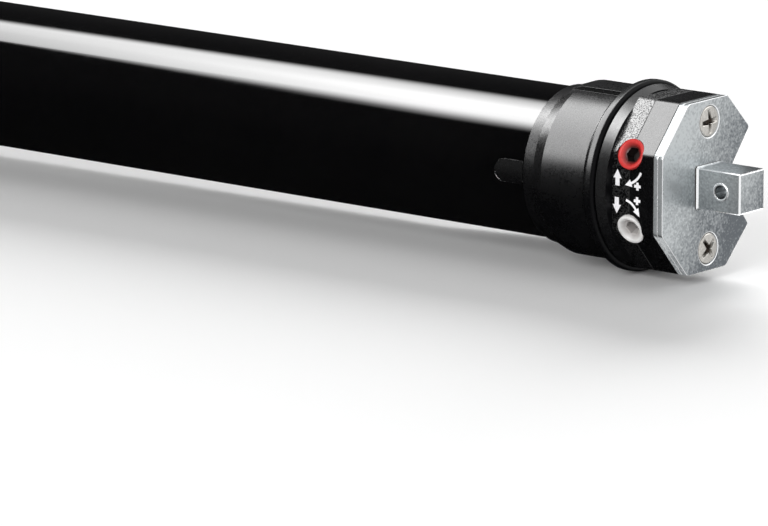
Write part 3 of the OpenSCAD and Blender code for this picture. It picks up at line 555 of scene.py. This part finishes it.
# %% [markdown]
# The two plates are stamped, so their corners are round and their rims are coined. The pin's end has a
# small chamfer. Its long edges are broken in the solid already, and here their faces only get a painted
# highlight.

# %% Plates and pin
PLATE_CORNER_R = 18 * MM
PIN_END_REACH = 0.1 * MM
CHAMFER_SLOPE = 0.6
pin_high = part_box("square_pin")[1]


def outer_corner(middle, along):
    return corner(middle, along) and math.hypot(middle.y, middle.z) > PLATE_CORNER_R


def pin_front(middle, along):
    return middle.x > pin_high.x - PIN_END_REACH


eased("end_plate", [(0.6 * MM, 3, outer_corner), (0.32 * MM, 3, anywhere)])
eased("backing_plate", [(0.6 * MM, 3, outer_corner), (0.25 * MM, 2, anywhere)])
pin = eased("square_pin", [(0.45 * MM, 1, pin_front)])
pin.data.set_sharp_from_angle(angle=EASE_ANGLE)
# Painted highlight on the pin's sloping chamfer faces.
for face, mark in zip(pin.data.polygons, pin.data.attributes["edge"].data):
    if min(abs(face.normal.y), abs(face.normal.z)) > CHAMFER_SLOPE:
        mark.value = 1
print("plates and pin eased, pin length", round(pin_high.x / MM, 1), "mm")

# %% [markdown]
# The head is moulded in two halves. Both halves have a small radius at their joint, which makes the
# thin dark line between them. Blender limits a bevel by the shortest edge beside it, and the seats of
# the limit screws have very short ones. So the edges round the seats are left out. The housing's flats
# are grained, its collar is smooth, and the narrow step in front of the collar is matt.

# %% Head
JOINT_X = -11.8 * MM
COLLAR_X = -17.85 * MM
SEAT_Y = -22.5 * MM
SEAT_Z = 11.45 * MM
SEAT_R = 4.9 * MM
AROUND_AXIS = 0.01
HEAD_EDGE_R = 21.5 * MM
CABLE_SIDE_Y = 8 * MM
CAP_FRONT_X = -4 * MM
JOINT_REACH = 0.05 * MM
STEP_REACH = 0.2 * MM
STEP_SLOPE = 0.9


def outline_edge(middle, along):
    """Edges round the head, away from the limit screws' seats and from the holes inside."""
    seat = (middle.x - JOINT_X, middle.y - SEAT_Y, abs(middle.z) - SEAT_Z)
    around = abs(along.x) < AROUND_AXIS * along.length
    outside = math.hypot(middle.y, middle.z) > HEAD_EDGE_R or middle.y > CABLE_SIDE_Y
    return around and outside and math.hypot(*seat) > SEAT_R


def joint_edge(middle, along):
    return abs(middle.x - JOINT_X) < JOINT_REACH and outline_edge(middle, along)


def front_edge(middle, along):
    return middle.x > CAP_FRONT_X and outline_edge(middle, along)


def collar_step(face):
    return face.normal.x > STEP_SLOPE and abs(face.center.x - COLLAR_X) < STEP_REACH


eased("head_cap", [(0.2 * MM, 2, joint_edge), (0.2 * MM, 2, front_edge)], finishes["head_smooth"])
housing = eased("head_housing", [(0.2 * MM, 2, joint_edge)], finishes["head_grained"])
refinish(housing, "head_smooth", lambda face: face.center.x < COLLAR_X)
refinish(housing, "matt_black", collar_step)
eased("cable_grommet", [(0.25 * MM, 2, anywhere)])
print("head eased, smooth behind", round(COLLAR_X / MM, 2), "mm")

# %% [markdown]
# The crown turns with the roller tube. Its outside is eased, its inner teeth stay as drawn and the
# front of its flange is matt. The tongue behind it is a separate moulding that keeps the crown on the
# tube, and its round end shows a thin bright edge.

# %% Crown and tongue
TOOTH_R = 22.9 * MM
FLANGE_R = 25.9 * MM
FRONT_SLOPE = 0.35
TONGUE_R = 22.6 * MM


def crown_outside(middle, along):
    return math.hypot(middle.y, middle.z) > TOOTH_R


def flange_front(face):
    return face.normal.x > FRONT_SLOPE and math.hypot(face.center.y, face.center.z) > FLANGE_R


def tongue_top(middle, along):
    return math.hypot(middle.y, middle.z) > TONGUE_R


crown_piece = eased("crown_ring", [(0.25 * MM, 2, crown_outside)])
refinish(crown_piece, "matt_black", flange_front)
eased("crown_retainer", [(0.4 * MM, 4, tongue_top)], weld=0.05 * MM)
print("crown eased")

# %% [markdown]
# At the other end are the bush that closes the tube, its screws, the drive wheel and the clip on the
# shaft's flats.

# %% Drive end
SHAFT_END_X = -440 * MM


def shaft_end(middle, along):
    return middle.x < SHAFT_END_X


eased("output_bush", [(0.3 * MM, 2, shaft_end)])
eased("tube_screws", [(0.15 * MM, 2, anywhere)])
eased("drive_wheel", [(0.3 * MM, 2, anywhere)])
eased("drive_wheel_clip", [(0.15 * MM, 2, anywhere)])
eased("output_carrier", [(0.25 * MM, 2, shaft_end)])
print("drive end eased")

# %% [markdown]
# ## Plate screws
#
# A cross recess is pressed into the head with sloping walls, so its edges are soft. Cutting it with a
# boolean would leave hard walls. Here the head's top is a polar grid whose height is a formula: a low
# dome, less a cross that gets shallower towards the tips of its wings.

# %% Height of a cross head
HEAD_R = 4.62 * MM
DOME = 0.32 * MM
RIM_START = 0.9 * HEAD_R
RIM_DROP = 0.22 * MM
WING_REACH = 3.55 * MM
WING_W = 1.7 * MM
WING_TAPER = 0.06
WALL = (-0.04 * MM, 0.24 * MM)
RECESS_DEPTH = 1.7 * MM
TIP_RISE = 0.75


def smooth_step(value, low, high):
    share = min(1, max(0, (value - low) / (high - low)))
    return share * share * (3 - 2 * share)


def recess(radius, angle):
    """Depth of the cross recess at a place on a screw's head."""
    along, across = radius * math.cos(angle), radius * math.sin(angle)
    inside = max(
        min(WING_REACH - abs(a), WING_W / 2 - WING_TAPER * abs(a) - abs(b))
        for a, b in ((along, across), (across, along))
    )
    return smooth_step(inside, *WALL) * RECESS_DEPTH * (1 - TIP_RISE * radius / WING_REACH)


def head_height(radius, angle):
    """Height of a screw head's top over the plate's face."""
    edge = smooth_step(radius, RIM_START, HEAD_R) * RIM_DROP
    return DOME * (1 - (radius / HEAD_R) ** 2) - recess(radius, angle) - edge


print("recess", round(recess(0, 0) / MM, 2), "mm deep")

# %% [markdown]
# The screws, the spring and the limit screws are all built the same way: rings of points, strips of
# faces between them and, where the ends are closed, a cap at each end.

# %% Rings and skins
def ring_of(bm, radius, spokes, point):
    return [bm.verts.new(point(radius, 2 * math.pi * s / spokes)) for s in range(spokes)]


def bridge(bm, inner, outer):
    """Quads between two rings of as many points."""
    count = len(inner)
    for s in range(count):
        bm.faces.new((inner[s], outer[s], outer[(s + 1) % count], inner[(s + 1) % count]))


def fan(bm, centre, ring):
    for s in range(len(ring)):
        bm.faces.new((centre, ring[s], ring[(s + 1) % len(ring)]))


def skin_mesh(bm, name, crease=None):
    """Turns a built skin into a smooth mesh, sharp where it bends by more than a crease angle."""
    bmesh.ops.recalc_face_normals(bm, faces=bm.faces)
    mesh = bpy.data.meshes.new(name)
    bm.to_mesh(mesh)
    bm.free()
    mesh.shade_smooth()
    if crease:
        mesh.set_sharp_from_angle(angle=crease)
    return mesh


print("ring helpers ready")

# %% Cross-head screws
SCREW_Z = 18.7 * MM
SHANK_R = 2.5 * MM
PLATE_T = 1.7 * MM
SCREW_LENGTH = 15 * MM
SCREW_TIP = 0.6 * MM
RINGS = 40
SPOKES = 96
SHADED_RIM = 0.94
SHADED_DEPTHS = (0.3 * MM, 1.1 * MM)


def cross_screw(name, z, turn):
    """One plate screw about an axis along X, at a height z and turned by an angle."""
    bm = bmesh.new()
    painted_shade_mark = bm.verts.layers.float.new("depth")

    def top(radius, angle):
        height = head_height(radius, angle - turn)
        return (height, radius * math.cos(angle), z + radius * math.sin(angle))

    def at_depth(depth):
        return lambda radius, angle: (-depth, radius * math.cos(angle), z + radius * math.sin(angle))

    rings = [ring_of(bm, HEAD_R * n / RINGS, SPOKES, top) for n in range(1, RINGS + 1)]
    # Painted shade: the recess's deep parts and the seam at the head's rim are marked dark.
    for n, ring in enumerate(rings, 1):
        for s, vert in enumerate(ring):
            sunk = recess(HEAD_R * n / RINGS, 2 * math.pi * s / SPOKES - turn)
            rim = smooth_step(n / RINGS, SHADED_RIM, 1.0)
            vert[painted_shade_mark] = max(rim, smooth_step(sunk, *SHADED_DEPTHS))
    shank_end = SCREW_LENGTH - SCREW_TIP
    profile = [(PLATE_T, SHANK_R), (shank_end, SHANK_R), (SCREW_LENGTH, SHANK_R - SCREW_TIP)]
    rings += [ring_of(bm, radius, SPOKES, at_depth(depth)) for depth, radius in profile]
    middle = bm.verts.new(top(0, 0))
    middle[painted_shade_mark] = 1
    fan(bm, middle, rings[0])
    for inner, outer in zip(rings, rings[1:]):
        bridge(bm, inner, outer)
    fan(bm, bm.verts.new((-SCREW_LENGTH, 0, z)), list(reversed(rings[-1])))
    return stand_in("end_plate_screws", skin_mesh(bm, name), finishes["screw_zinc"], "_" + name)


for name, z, turn in (("upper", SCREW_Z, 5), ("lower", -SCREW_Z, 38)):
    screw = cross_screw(name, z, math.radians(turn))
    print(screw.name, len(screw.data.vertices), "points")

# %% [markdown]
# The pin is pressed through the plate, which raises a small lip of metal round it, and drilling leaves
# a bead round its cross hole. Both catch the light. They are rings of narrow strips with a painted
# highlight, on the lip only at two of its four sides, and the last strip of each gets painted shade,
# where the lip meets the plate and where the bead goes down into the hole.

# %% Raised metal on the pin
PIN_HALF = 6.0 * MM
PIN_CHAMFER = 0.3 * MM
PIN_HOLE_X = 8.6 * MM
# Steps of the lip (height over the plate, reach from the pin) and of a bead (radius, height), in mm
LIP_STEPS = ((0.8, -0.02), (0.25, 0.4), (0.22, 0.46), (-0.2, 0.5))
BEAD_STEPS = ((2.75, -0.02), (2.6, 0.15), (2.35, 0.2), (2.1, 0.12), (1.98, -0.3))
BEAD_SPOKES = 48
METAL_CREASE = math.radians(50)


def lip_loop(height, reach):
    """The pin's outline at a height over the plate, larger by a reach."""
    far = PIN_HALF + reach
    near = PIN_HALF - PIN_CHAMFER + reach * math.tan(math.pi / 8)
    quarter = [(far, -near), (far, near)]
    turns = [quarter]
    for turn in range(3):
        turns.append([(-z, y) for y, z in turns[-1]])
    return [(height, y, z) for pair in turns for y, z in pair]


def bead_loop(side, radius, height):
    """A circle round the cross hole, at a height over the pin's near (-1) or far (1) side."""
    angles = [2 * math.pi * s / BEAD_SPOKES for s in range(BEAD_SPOKES)]
    y = side * (PIN_HALF + height)
    return [(PIN_HOLE_X + radius * math.cos(a), y, radius * math.sin(a)) for a in angles]


def raised_metal(name, loops, highlighted):
    """Strips between loops of points. A test says where they get a painted highlight, and the last one painted
    shade.
    """
    bm = bmesh.new()
    painted_shade_mark = bm.verts.layers.float.new("depth")
    painted_highlight_mark = bm.faces.layers.float.new("edge")
    rings = [[bm.verts.new(point) for point in loop] for loop in loops]
    # Painted shade on the last strip.
    for vert in rings[-2] + rings[-1]:
        vert[painted_shade_mark] = 1
    for inner, outer in zip(rings, rings[1:]):
        bridge(bm, inner, outer)
    bm.faces.ensure_lookup_table()
    # Painted highlight where the test picks.
    for face in bm.faces[:-len(rings[0])]:
        face[painted_highlight_mark] = highlighted(face.calc_center_median())
    mesh = skin_mesh(bm, name, METAL_CREASE)
    mesh.materials.append(finishes["zinc"])
    ring = linked(name, mesh)
    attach(ring, body_of["square_pin"])
    return ring


lip_loops = [lip_loop(height * MM, reach * MM) for height, reach in LIP_STEPS]
pin_rings = [raised_metal("pin_lip", lip_loops, lambda middle: abs(middle.y) > PIN_HALF)]
for label, side in (("near", -1), ("far", 1)):
    bead_loops = [bead_loop(side, radius * MM, height * MM) for radius, height in BEAD_STEPS]
    pin_rings.append(raised_metal("pin_bead_" + label, bead_loops, lambda middle: True))
print("raised metal:", {ring.name: len(ring.data.polygons) for ring in pin_rings})

# %% [markdown]
# ## Brake spring
#
# In the solids the spring between the brake's pole and its disc is a plain sleeve. The dressed one is a
# coil in the same room: rings of points along a helix, joined to a wire and closed at both ends. The
# disc slides towards the pole when the brake lets go, but the coil rides on no body and does not follow
# it.

# %% Coil of the brake spring
WIRE_R = 0.5 * MM
WIRE_SIDES = 12
COIL_R = 5.3 * MM
COIL_TURNS = 3.5
COIL_STEPS = 140
spring_low, spring_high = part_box("brake_spring")


def mix(first, second, share):
    return first + (second - first) * share


def wire_ring(bm, share):
    """One ring of the wire, at a share of its way from the pole to the disc."""
    turn = 2 * math.pi * COIL_TURNS * share
    out = Vector((0, math.cos(turn), math.sin(turn)))
    side = Vector((1, 0, 0))
    middle = COIL_R * out + mix(spring_high.x - WIRE_R, spring_low.x + WIRE_R, share) * side

    def on_wire(radius, angle):
        return middle + radius * (math.cos(angle) * out + math.sin(angle) * side)

    return ring_of(bm, WIRE_R, WIRE_SIDES, on_wire)


bm = bmesh.new()
wire = [wire_ring(bm, step / COIL_STEPS) for step in range(COIL_STEPS + 1)]
for inner, outer in zip(wire, wire[1:]):
    bridge(bm, inner, outer)
bm.faces.new(list(reversed(wire[0])))
bm.faces.new(wire[-1])
coil_mesh = skin_mesh(bm, "brake_coil", METAL_CREASE)
coil_mesh.materials.append(finishes["steel"])
coil = linked("brake_coil", coil_mesh)
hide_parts("brake_spring")
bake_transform(coil)
print("coil of", COIL_TURNS, "turns in", round((spring_high.x - spring_low.x) / MM, 2), "mm")

# %% [markdown]
# ## Limit screws
#
# The red and the white screw set the blind's end positions. Each has a rounded rim, a funnel that
# guides the key and a hexagon socket. A turned profile gives the round part, and the socket's rings
# bend each circle into a hexagon, so the whole screw is one skin. The screws' places and axes are read
# from the joints that they turn on.

# %% Hexagon limit screws
HEX_FLAT = 2.0 * MM
HEX_SPOKES = 72
SIXTH = math.pi / 3
LIMIT_CREASE = math.radians(40)
# Height over the outer face and radius of the round part, then heights of the socket's rings, all in mm
LIMIT_PROFILE = [(-11.5, 2.6), (-11.1, 3.0), (-4.0, 3.0), (-4.0, 4.3), (-3.8, 4.5), (-0.4, 4.5),
                 (-0.16, 4.43), (-0.04, 4.28), (0, 4.1), (0, 3.75), (-0.05, 3.6), (-0.2, 3.45),
                 (-1.05, 2.62), (-1.2, 2.45)]
SOCKET_HEIGHTS = [-1.32, -1.5, -5.0]


def limit_screw(node, joint, shade):
    """A limit screw about its joint's axis, its outer face at the joint. Painted shade darkens it between two
    depths.
    """
    face = Vector(joint_of[joint]["pos_m"])
    out = Vector(joint_of[joint]["axis"]).normalized()
    side = Vector((1, 0, 0))
    rise = out.cross(side)
    bm = bmesh.new()
    painted_shade_mark = bm.verts.layers.float.new("depth")

    def point(height, radius, angle):
        return face + height * out + radius * (math.cos(angle) * side + math.sin(angle) * rise)

    def round_ring(height, radius):
        return ring_of(bm, radius, HEX_SPOKES, lambda r, a: point(height, r, a))

    def hex_ring(height):
        def on_hexagon(flat, angle):
            return point(height, flat / math.cos(angle % SIXTH - SIXTH / 2), angle)

        return ring_of(bm, HEX_FLAT, HEX_SPOKES, on_hexagon)

    rings = [round_ring(height * MM, radius * MM) for height, radius in LIMIT_PROFILE]
    rings += [hex_ring(height * MM) for height in SOCKET_HEIGHTS]
    heights = [height for height, radius in LIMIT_PROFILE] + SOCKET_HEIGHTS
    for ring, height in zip(rings, heights):
        for vert in ring:
            vert[painted_shade_mark] = smooth_step(-height, *shade)
    for inner, outer in zip(rings, rings[1:]):
        bridge(bm, inner, outer)
    fan(bm, bm.verts.new(point(heights[0] * MM, 0, 0)), rings[0])
    floor_middle = bm.verts.new(point(heights[-1] * MM, 0, 0))
    floor_middle[painted_shade_mark] = 1
    fan(bm, floor_middle, list(reversed(rings[-1])))
    return stand_in(node, skin_mesh(bm, node, LIMIT_CREASE))


for colour, shade in (("red", (0.3, 1.5)), ("white", (0.2, 1.25))):
    screw = limit_screw("limit_screw_" + colour, colour + "_limit_turn", shade)
    print(screw.name, len(screw.data.polygons), "faces")

# %% [markdown]
# ## Printed signs
#
# Beside the limit screws the head carries printed arrows and plus signs. Ink has a little thickness, so
# each sign is an outline raised by a few hundredths of a millimetre on the head's flat side. Straight
# arrows and plus signs are plain outlines, and the curved arrows follow a quadratic curve.

# %% Outlines of the signs, in mm
ARROW_HALF = 0.75
ARROW_BARB = 1.5
ARROW_HEAD = 2.6
CURVE_STEPS = 10


def straight_arrow(x, foot, tip):
    """An upright arrow from its foot to its tip."""
    way = 1 if tip > foot else -1
    neck = tip - way * ARROW_HEAD
    right_half = [(ARROW_HALF, foot), (ARROW_HALF, neck), (ARROW_BARB, neck)]
    left_half = [(-px, pz) for px, pz in reversed(right_half)]
    return [(x + px, pz) for px, pz in right_half + [(0, tip)] + left_half]


def plus_sign(x, z, reach=1.15, half=0.42):
    corners = [(half, half), (half, reach), (-half, reach), (-half, half), (-reach, half), (-reach, -half)]
    return [(x + s * px, z + s * pz) for s in (1, -1) for px, pz in corners]


def curved_arrow(start, bend, end, tip, half=0.36, head=1.15):
    """A curved shaft from start to end, with a head that points to the tip."""
    left, right_side = [], []
    start, bend, end, tip = Vector(start), Vector(bend), Vector(end), Vector(tip)
    for step in range(CURVE_STEPS + 1):
        t = step / CURVE_STEPS
        at = (1 - t) ** 2 * start + 2 * t * (1 - t) * bend + t * t * end
        way = ((1 - t) * (bend - start) + t * (end - bend)).normalized()
        across = Vector((-way.y, way.x))
        left.append(at + half * across)
        right_side.append(at - half * across)
    across = Vector((-(tip - end).y, (tip - end).x)).normalized()
    return left + [end + head * across, tip, end - head * across] + right_side[::-1]


signs = {
    "arrow_up": straight_arrow(-16.0, 1.45, 6.3),
    "arrow_down": straight_arrow(-16.2, -1.95, -6.7),
    "plus_up": plus_sign(-8.85, 2.05),
    "plus_down": plus_sign(-8.95, -2.2),
    "turn_up": curved_arrow((-7.65, 6.2), (-8.6, 3.9), (-11.1, 2.75), (-13.3, 1.95)),
    "turn_down": curved_arrow((-12.9, -2.4), (-10.7, -2.9), (-9.4, -4.8), (-8.05, -6.8)),
}
print("signs:", {name: len(outline) for name, outline in signs.items()})

# %% Raised ink
SIDE_Y = -22.5 * MM
INK = 0.03 * MM
INK_BACK = INK / 2


def printed(name, outline):
    """A sign raised on the head's flat side, with its back just inside the surface."""
    bm = bmesh.new()
    base = [bm.verts.new((x * MM, SIDE_Y + INK_BACK, z * MM)) for x, z in outline]
    bottom = bm.faces.new(base)
    raised = bmesh.ops.extrude_face_region(bm, geom=[bottom], use_keep_orig=True)["geom"]
    moved = [part for part in raised if isinstance(part, bmesh.types.BMVert)]
    bmesh.ops.translate(bm, verts=moved, vec=(0, -INK - INK_BACK, 0))
    bmesh.ops.recalc_face_normals(bm, faces=bm.faces)
    mesh = bpy.data.meshes.new("sign_" + name)
    bm.to_mesh(mesh)
    bm.free()
    mesh.materials.append(finishes["white_print"])
    sign = linked("sign_" + name, mesh)
    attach(sign, "motor_body")
    return sign


for name, outline in signs.items():
    printed(name, outline)
print("printed", len(signs), "signs")

# %% [markdown]
# ## Floor
#
# The motor lies on a plain pale floor. In the picture the floor is pure white, and more light would
# burn out the motor as well. So the camera sees the paper as white, and the light that it throws back
# is that of pale paper. It isn't seen in reflections either: black gloss would turn grey over a white
# floor, as it does in any white studio.

# %% Floor
FLOOR_SIZE = 60.0
FLOOR_GAP = 0.2 * MM
floor_mesh = bpy.data.meshes.new("pale_floor")
half = FLOOR_SIZE / 2
low = cad_box[0].z - FLOOR_GAP
corners = [(-half, -half, low), (half, -half, low), (half, half, low), (-half, half, low)]
floor_mesh.from_pydata(corners, [], [(0, 1, 2, 3)])
floor = linked("pale_floor", floor_mesh)
floor.visible_glossy = False
tree, shader = blank_finish("pale_paper", specular=0.0)
paper = place(tree, mould_grain, Scale=300.0)
pale = tint(tree, paper["Tone"], [(0.2, (0.87, 0.87, 0.875)), (0.8, (0.89, 0.89, 0.895))])
seen = put(tree, "LightPath").outputs["Is Camera Ray"]
tree.links.new(blend(tree, seen, pale, (1, 1, 1, 1)), shader["Base Color"])
floor_mesh.materials.append(finishes["pale_paper"])
print("floor at", round(low / MM, 2), "mm")

# %% [markdown]
# ## Light
#
# Two broad suns light the motor evenly, a high one behind it and a low one in front, which reaches the
# plate, the screws and the signs. A studio would keep the front lamp off the black parts with a flag.
# Here light linking does that: a lamp has a list of the pieces that it lights, or leaves out. The floor
# has suns of its own. The low one throws the long soft shadow in front of the motor, and the other two
# set how dark it gets.

# %% Pieces that are lit alike
def eased_pieces(*names):
    return [bpy.data.objects[name + "_eased"] for name in names]


satin_pieces = eased_pieces("crown_ring", "crown_retainer", "cable_grommet", "drive_wheel", "output_bush")
head_pieces = eased_pieces("head_cap", "head_housing")
plate_pieces = eased_pieces("end_plate", "backing_plate")
pin_pieces = [pin] + pin_rings
gloss_pieces = [nodes["motor_tube"]]
print("satin:", [piece.name for piece in satin_pieces])

# %% Suns
def link_light(lamp, pieces, state):
    """Lists the pieces that a lamp lights (INCLUDE) or leaves out (EXCLUDE)."""
    listed = bpy.data.collections.new(lamp.name + "_pieces")
    for piece in pieces:
        listed.objects.link(piece)
    for entry in listed.collection_objects:
        entry.light_linking.link_state = state
    lamp.light_linking.receiver_collection = listed


def sun(name, toward, strength, width):
    """A broad sun: toward is the direction that it shines from, width the angle that it spans."""
    lamp = bpy.data.lights.new(name, "SUN")
    lamp.energy = strength
    lamp.angle = math.radians(width)
    holder = linked(name, lamp)
    holder.rotation_mode = "QUATERNION"
    holder.rotation_quaternion = Vector(toward).to_track_quat("Z", "Y")
    return holder


link_light(sun("high_sun", (0.2, 0.5, 0.84), 2.0, 85), [floor], "EXCLUDE")
unlit_by_front = satin_pieces + head_pieces + gloss_pieces + [floor]
link_light(sun("front_sun", (0.1, -0.92, 0.38), 2.4, 40), unlit_by_front, "EXCLUDE")
for name, toward, strength, width in (
    ("floor_low_sun", (-0.6, 0.78, 0.26), 6.2, 44),
    ("floor_high_sun", (-0.2, 0.26, 0.97), 0.3, 60),
    ("floor_front_sun", (0.1, -0.92, 0.38), 1.8, 40),
):
    link_light(sun(name, toward, strength, width), [floor], "INCLUDE")

# %% [markdown]
# The tube hangs a few millimetres over the floor, and the low sun would shine through under it. A
# studio puts a flag there, a piece of card that only casts a shadow. It slopes from the tube's bottom
# down towards the floor behind the motor, and reaches farther towards the crown.

# %% Flag behind the tube
FLAG_TOP = -21.0 * MM
# Place along the motor, reach behind its axis and height of the flag's far edge, in mm
FLAG_STATIONS = ((-440, 8, -24.0), (-110, 15, -25.8), (-25, 30, -28.2))
flag_points = []
for x, y, z in FLAG_STATIONS:
    flag_points += [(x * MM, 0, FLAG_TOP), (x * MM, y * MM, z * MM)]
flag_mesh = bpy.data.meshes.new("flag")
flag_mesh.from_pydata(flag_points, [], [(0, 1, 3, 2), (2, 3, 5, 4)])
flag_mesh.materials.append(finishes["pale_paper"])
flag = linked("flag", flag_mesh)
flag.visible_camera = False
flag.visible_diffuse = False
flag.visible_glossy = False
print("flag of", len(flag_points), "corners")

# %% [markdown]
# The broad white band on the tube and the flat grey on the crown are images of studio panels. A panel
# here is a curved sheet round the motor's axis that only reflections see. On a cylinder the place of a
# reflection follows from the angle of the panel: the tube's normal stands halfway between the camera
# and the panel. So the panels' edges were worked out from the edges of the bands in the picture, and a
# mark on each corner of the sheet says how bright it is, which makes the soft edges. Each panel shines
# on its own pieces alone, and lets every other ray through.

# %% Sheet of a panel
PANEL_STEPS = 60
BAND_RIGHT = -1.234
BAND_LEFT = -1.58
DIP_ANGLES = (82, 104)


def panel_sheet(name, reach, span, edges, left_edges, left_glow, dip):
    """A curved sheet round the motor's axis, with a mark for its glow. Its edges are (low, high, softness of
    low, softness of high), as angles in degrees over the socket side. Its left end can have other edges and
    another glow, and its top can be dimmer at its right end."""
    points, glow = [], []
    for i in range(PANEL_STEPS + 1):
        x = mix(*span, i / PANEL_STEPS)
        share = min(1, max(0, (x - BAND_RIGHT) / (BAND_LEFT - BAND_RIGHT)))
        low, high, soft_low, soft_high = [mix(*ends, share) for ends in zip(edges, left_edges)]
        for j in range(PANEL_STEPS + 1):
            angle = mix(low - soft_low, high + soft_high, j / PANEL_STEPS)
            turn = math.radians(angle)
            points.append((x, -reach * math.cos(turn), reach * math.sin(turn)))
            rise = smooth_step(angle, low - soft_low, low + soft_low)
            fall = 1 - smooth_step(angle, high - soft_high, high + soft_high)
            dim_top = 1 - dip * (1 - share) * smooth_step(angle, *DIP_ANGLES)
            glow.append(rise * fall * dim_top * mix(1, left_glow, share))
    row = PANEL_STEPS + 1
    cells = [
        (i * row + j, (i + 1) * row + j, (i + 1) * row + j + 1, i * row + j + 1)
        for i in range(PANEL_STEPS) for j in range(PANEL_STEPS)
    ]
    mesh = bpy.data.meshes.new(name)
    mesh.from_pydata(points, [], cells)
    mesh.attributes.new("glow", "FLOAT", "POINT").data.foreach_set("value", glow)
    return mesh


print("a sheet has", PANEL_STEPS * PANEL_STEPS, "cells")

# %% Studio panels
PANEL_R = 1.5
SHEET_GAP = 0.02
PANEL_SPAN = (-0.2, -4.6)
sheets = []


def panel_finish(name, radiance):
    """A material that shines by the mark on its sheet and lets every ray through."""
    material = empty_material(name)
    tree = material.node_tree
    strength = combine(tree, "MULTIPLY", attribute(tree, "glow"), radiance)
    shine = put(tree, "Emission", {"Strength": strength}).outputs[0]
    through = put(tree, "BsdfTransparent").outputs[0]
    both = put(tree, "AddShader", {0: shine, 1: through}).outputs[0]
    put(tree, "OutputMaterial", {"Surface": both})
    return material


def panel(name, radiance, edges, pieces, span=PANEL_SPAN, left_edges=None, left_glow=1, dip=0):
    """A panel that is seen in the reflections of its pieces alone, a little outside the one before it."""
    reach = PANEL_R + SHEET_GAP * len(sheets)
    mesh = panel_sheet(name, reach, span, edges, left_edges or edges, left_glow, dip)
    mesh.materials.append(panel_finish(name, radiance))
    sheet = linked(name, mesh)
    sheet.visible_camera = False
    sheet.visible_diffuse = False
    sheet.visible_shadow = False
    link_light(sheet, pieces, "INCLUDE")
    sheets.append(sheet)


print("a panel is", PANEL_R, "m from the motor")

# %% [markdown]
# A cone reflects another stretch of the studio than a cylinder does. So the crown's bevel and lip and
# the head's collar, which are cones, have sheets of their own, farther left or right than those of the
# ring and the flats.

# %% Panels for each piece
crown = eased_pieces("crown_ring")
tongue = eased_pieces("crown_retainer")
dull_pieces = [piece for piece in satin_pieces if piece not in tongue]
panel("tube_panel", 29.5, (60, 107, 10, 7), gloss_pieces,
      left_edges=(66, 105, 4.5, 6), left_glow=0.47, dip=0.57)
panel("satin_panel", 14.5, (17, 104, 9, 5), dull_pieces, span=(-0.2, -1.62))
panel("lip_panel", 20.0, (66, 99, 14, 6), crown, span=(-1.6, -2.15))
panel("bevel_panel", 15.0, (80, 114, 18, 9), crown, span=(-2.15, -5.5))
panel("tongue_panel", 60.0, (-95, -50, 10, 10), tongue, span=(-1.9, -3.4))
panel("tongue_fill", 0.5, (-10, 30, 12, 10), tongue, span=(-0.9, -1.8))
panel("head_panel", 13.0, (40, 100, 20, 18), head_pieces, span=(-0.7, -2.5))
panel("collar_panel", 25.0, (53.5, 86.5, 18, 20), [housing], span=(0.9, -0.1))
panel("plate_panel", 2.6, (52, 92, 8, 8), plate_pieces + pin_pieces)
panel("pin_panel", 0.35, (-50, 30, 20, 15), plate_pieces + pin_pieces)
panel("under_panel", 1.0, (-130, -85, 12, 12), plate_pieces, span=(-0.2, -3.0))
panel("pin_under_panel", 2.5, (-172, -85, 12, 12), pin_pieces, span=(-0.2, -3.0))
print("panels:", [sheet.name for sheet in sheets])

# %% [markdown]
# The world has three faces. The camera sees white, so low views have a white background. Matt surfaces
# get a plain dim light from all sides. Reflections see a dark studio with two bright places, the end
# that the plate faces and a dimmer wall behind the motor: metal looks like metal only when it has both
# light and dark to reflect.

# %% World
END_EDGE = (0.1, 0.65)
WALL_EDGE = (0.8, 0.95)
WALL_END = (-0.45, -0.1)
WALL_LIGHT = 0.8
HORIZON = (-0.3, 0.4)
DARK_STUDIO = (0.004, 0.03)
ROOM_LIGHT = 0.25
world = bpy.data.worlds.new("studio")
world.use_nodes = True
scene.world = world
tree = world.node_tree
tree.nodes.clear()
way = put(tree, "SeparateXYZ", {0: put(tree, "TexCoord").outputs["Generated"]}).outputs
bright_end = spread(tree, way["X"], *END_EDGE)
behind = spread(tree, way["Y"], *WALL_EDGE)
wall = combine(tree, "MULTIPLY", behind, spread(tree, way["X"], *WALL_END))
wall = combine(tree, "MULTIPLY", wall, WALL_LIGHT)
bright_places = combine(tree, "MAXIMUM", bright_end, wall)
mirrored = combine(tree, "MAXIMUM", bright_places, spread(tree, way["Z"], *HORIZON, *DARK_STUDIO))
path = put(tree, "LightPath").outputs
strength = put(tree, "Mix", {0: path["Is Glossy Ray"], 2: ROOM_LIGHT, 3: mirrored}).outputs[0]
strength = put(tree, "Mix", {0: path["Is Camera Ray"], 2: strength, 3: 1.0}).outputs[0]
background = put(tree, "Background", {"Strength": strength, "Color": (1, 1, 1, 1)}).outputs[0]
put(tree, "OutputWorld", {"Surface": background})
print("world ready")
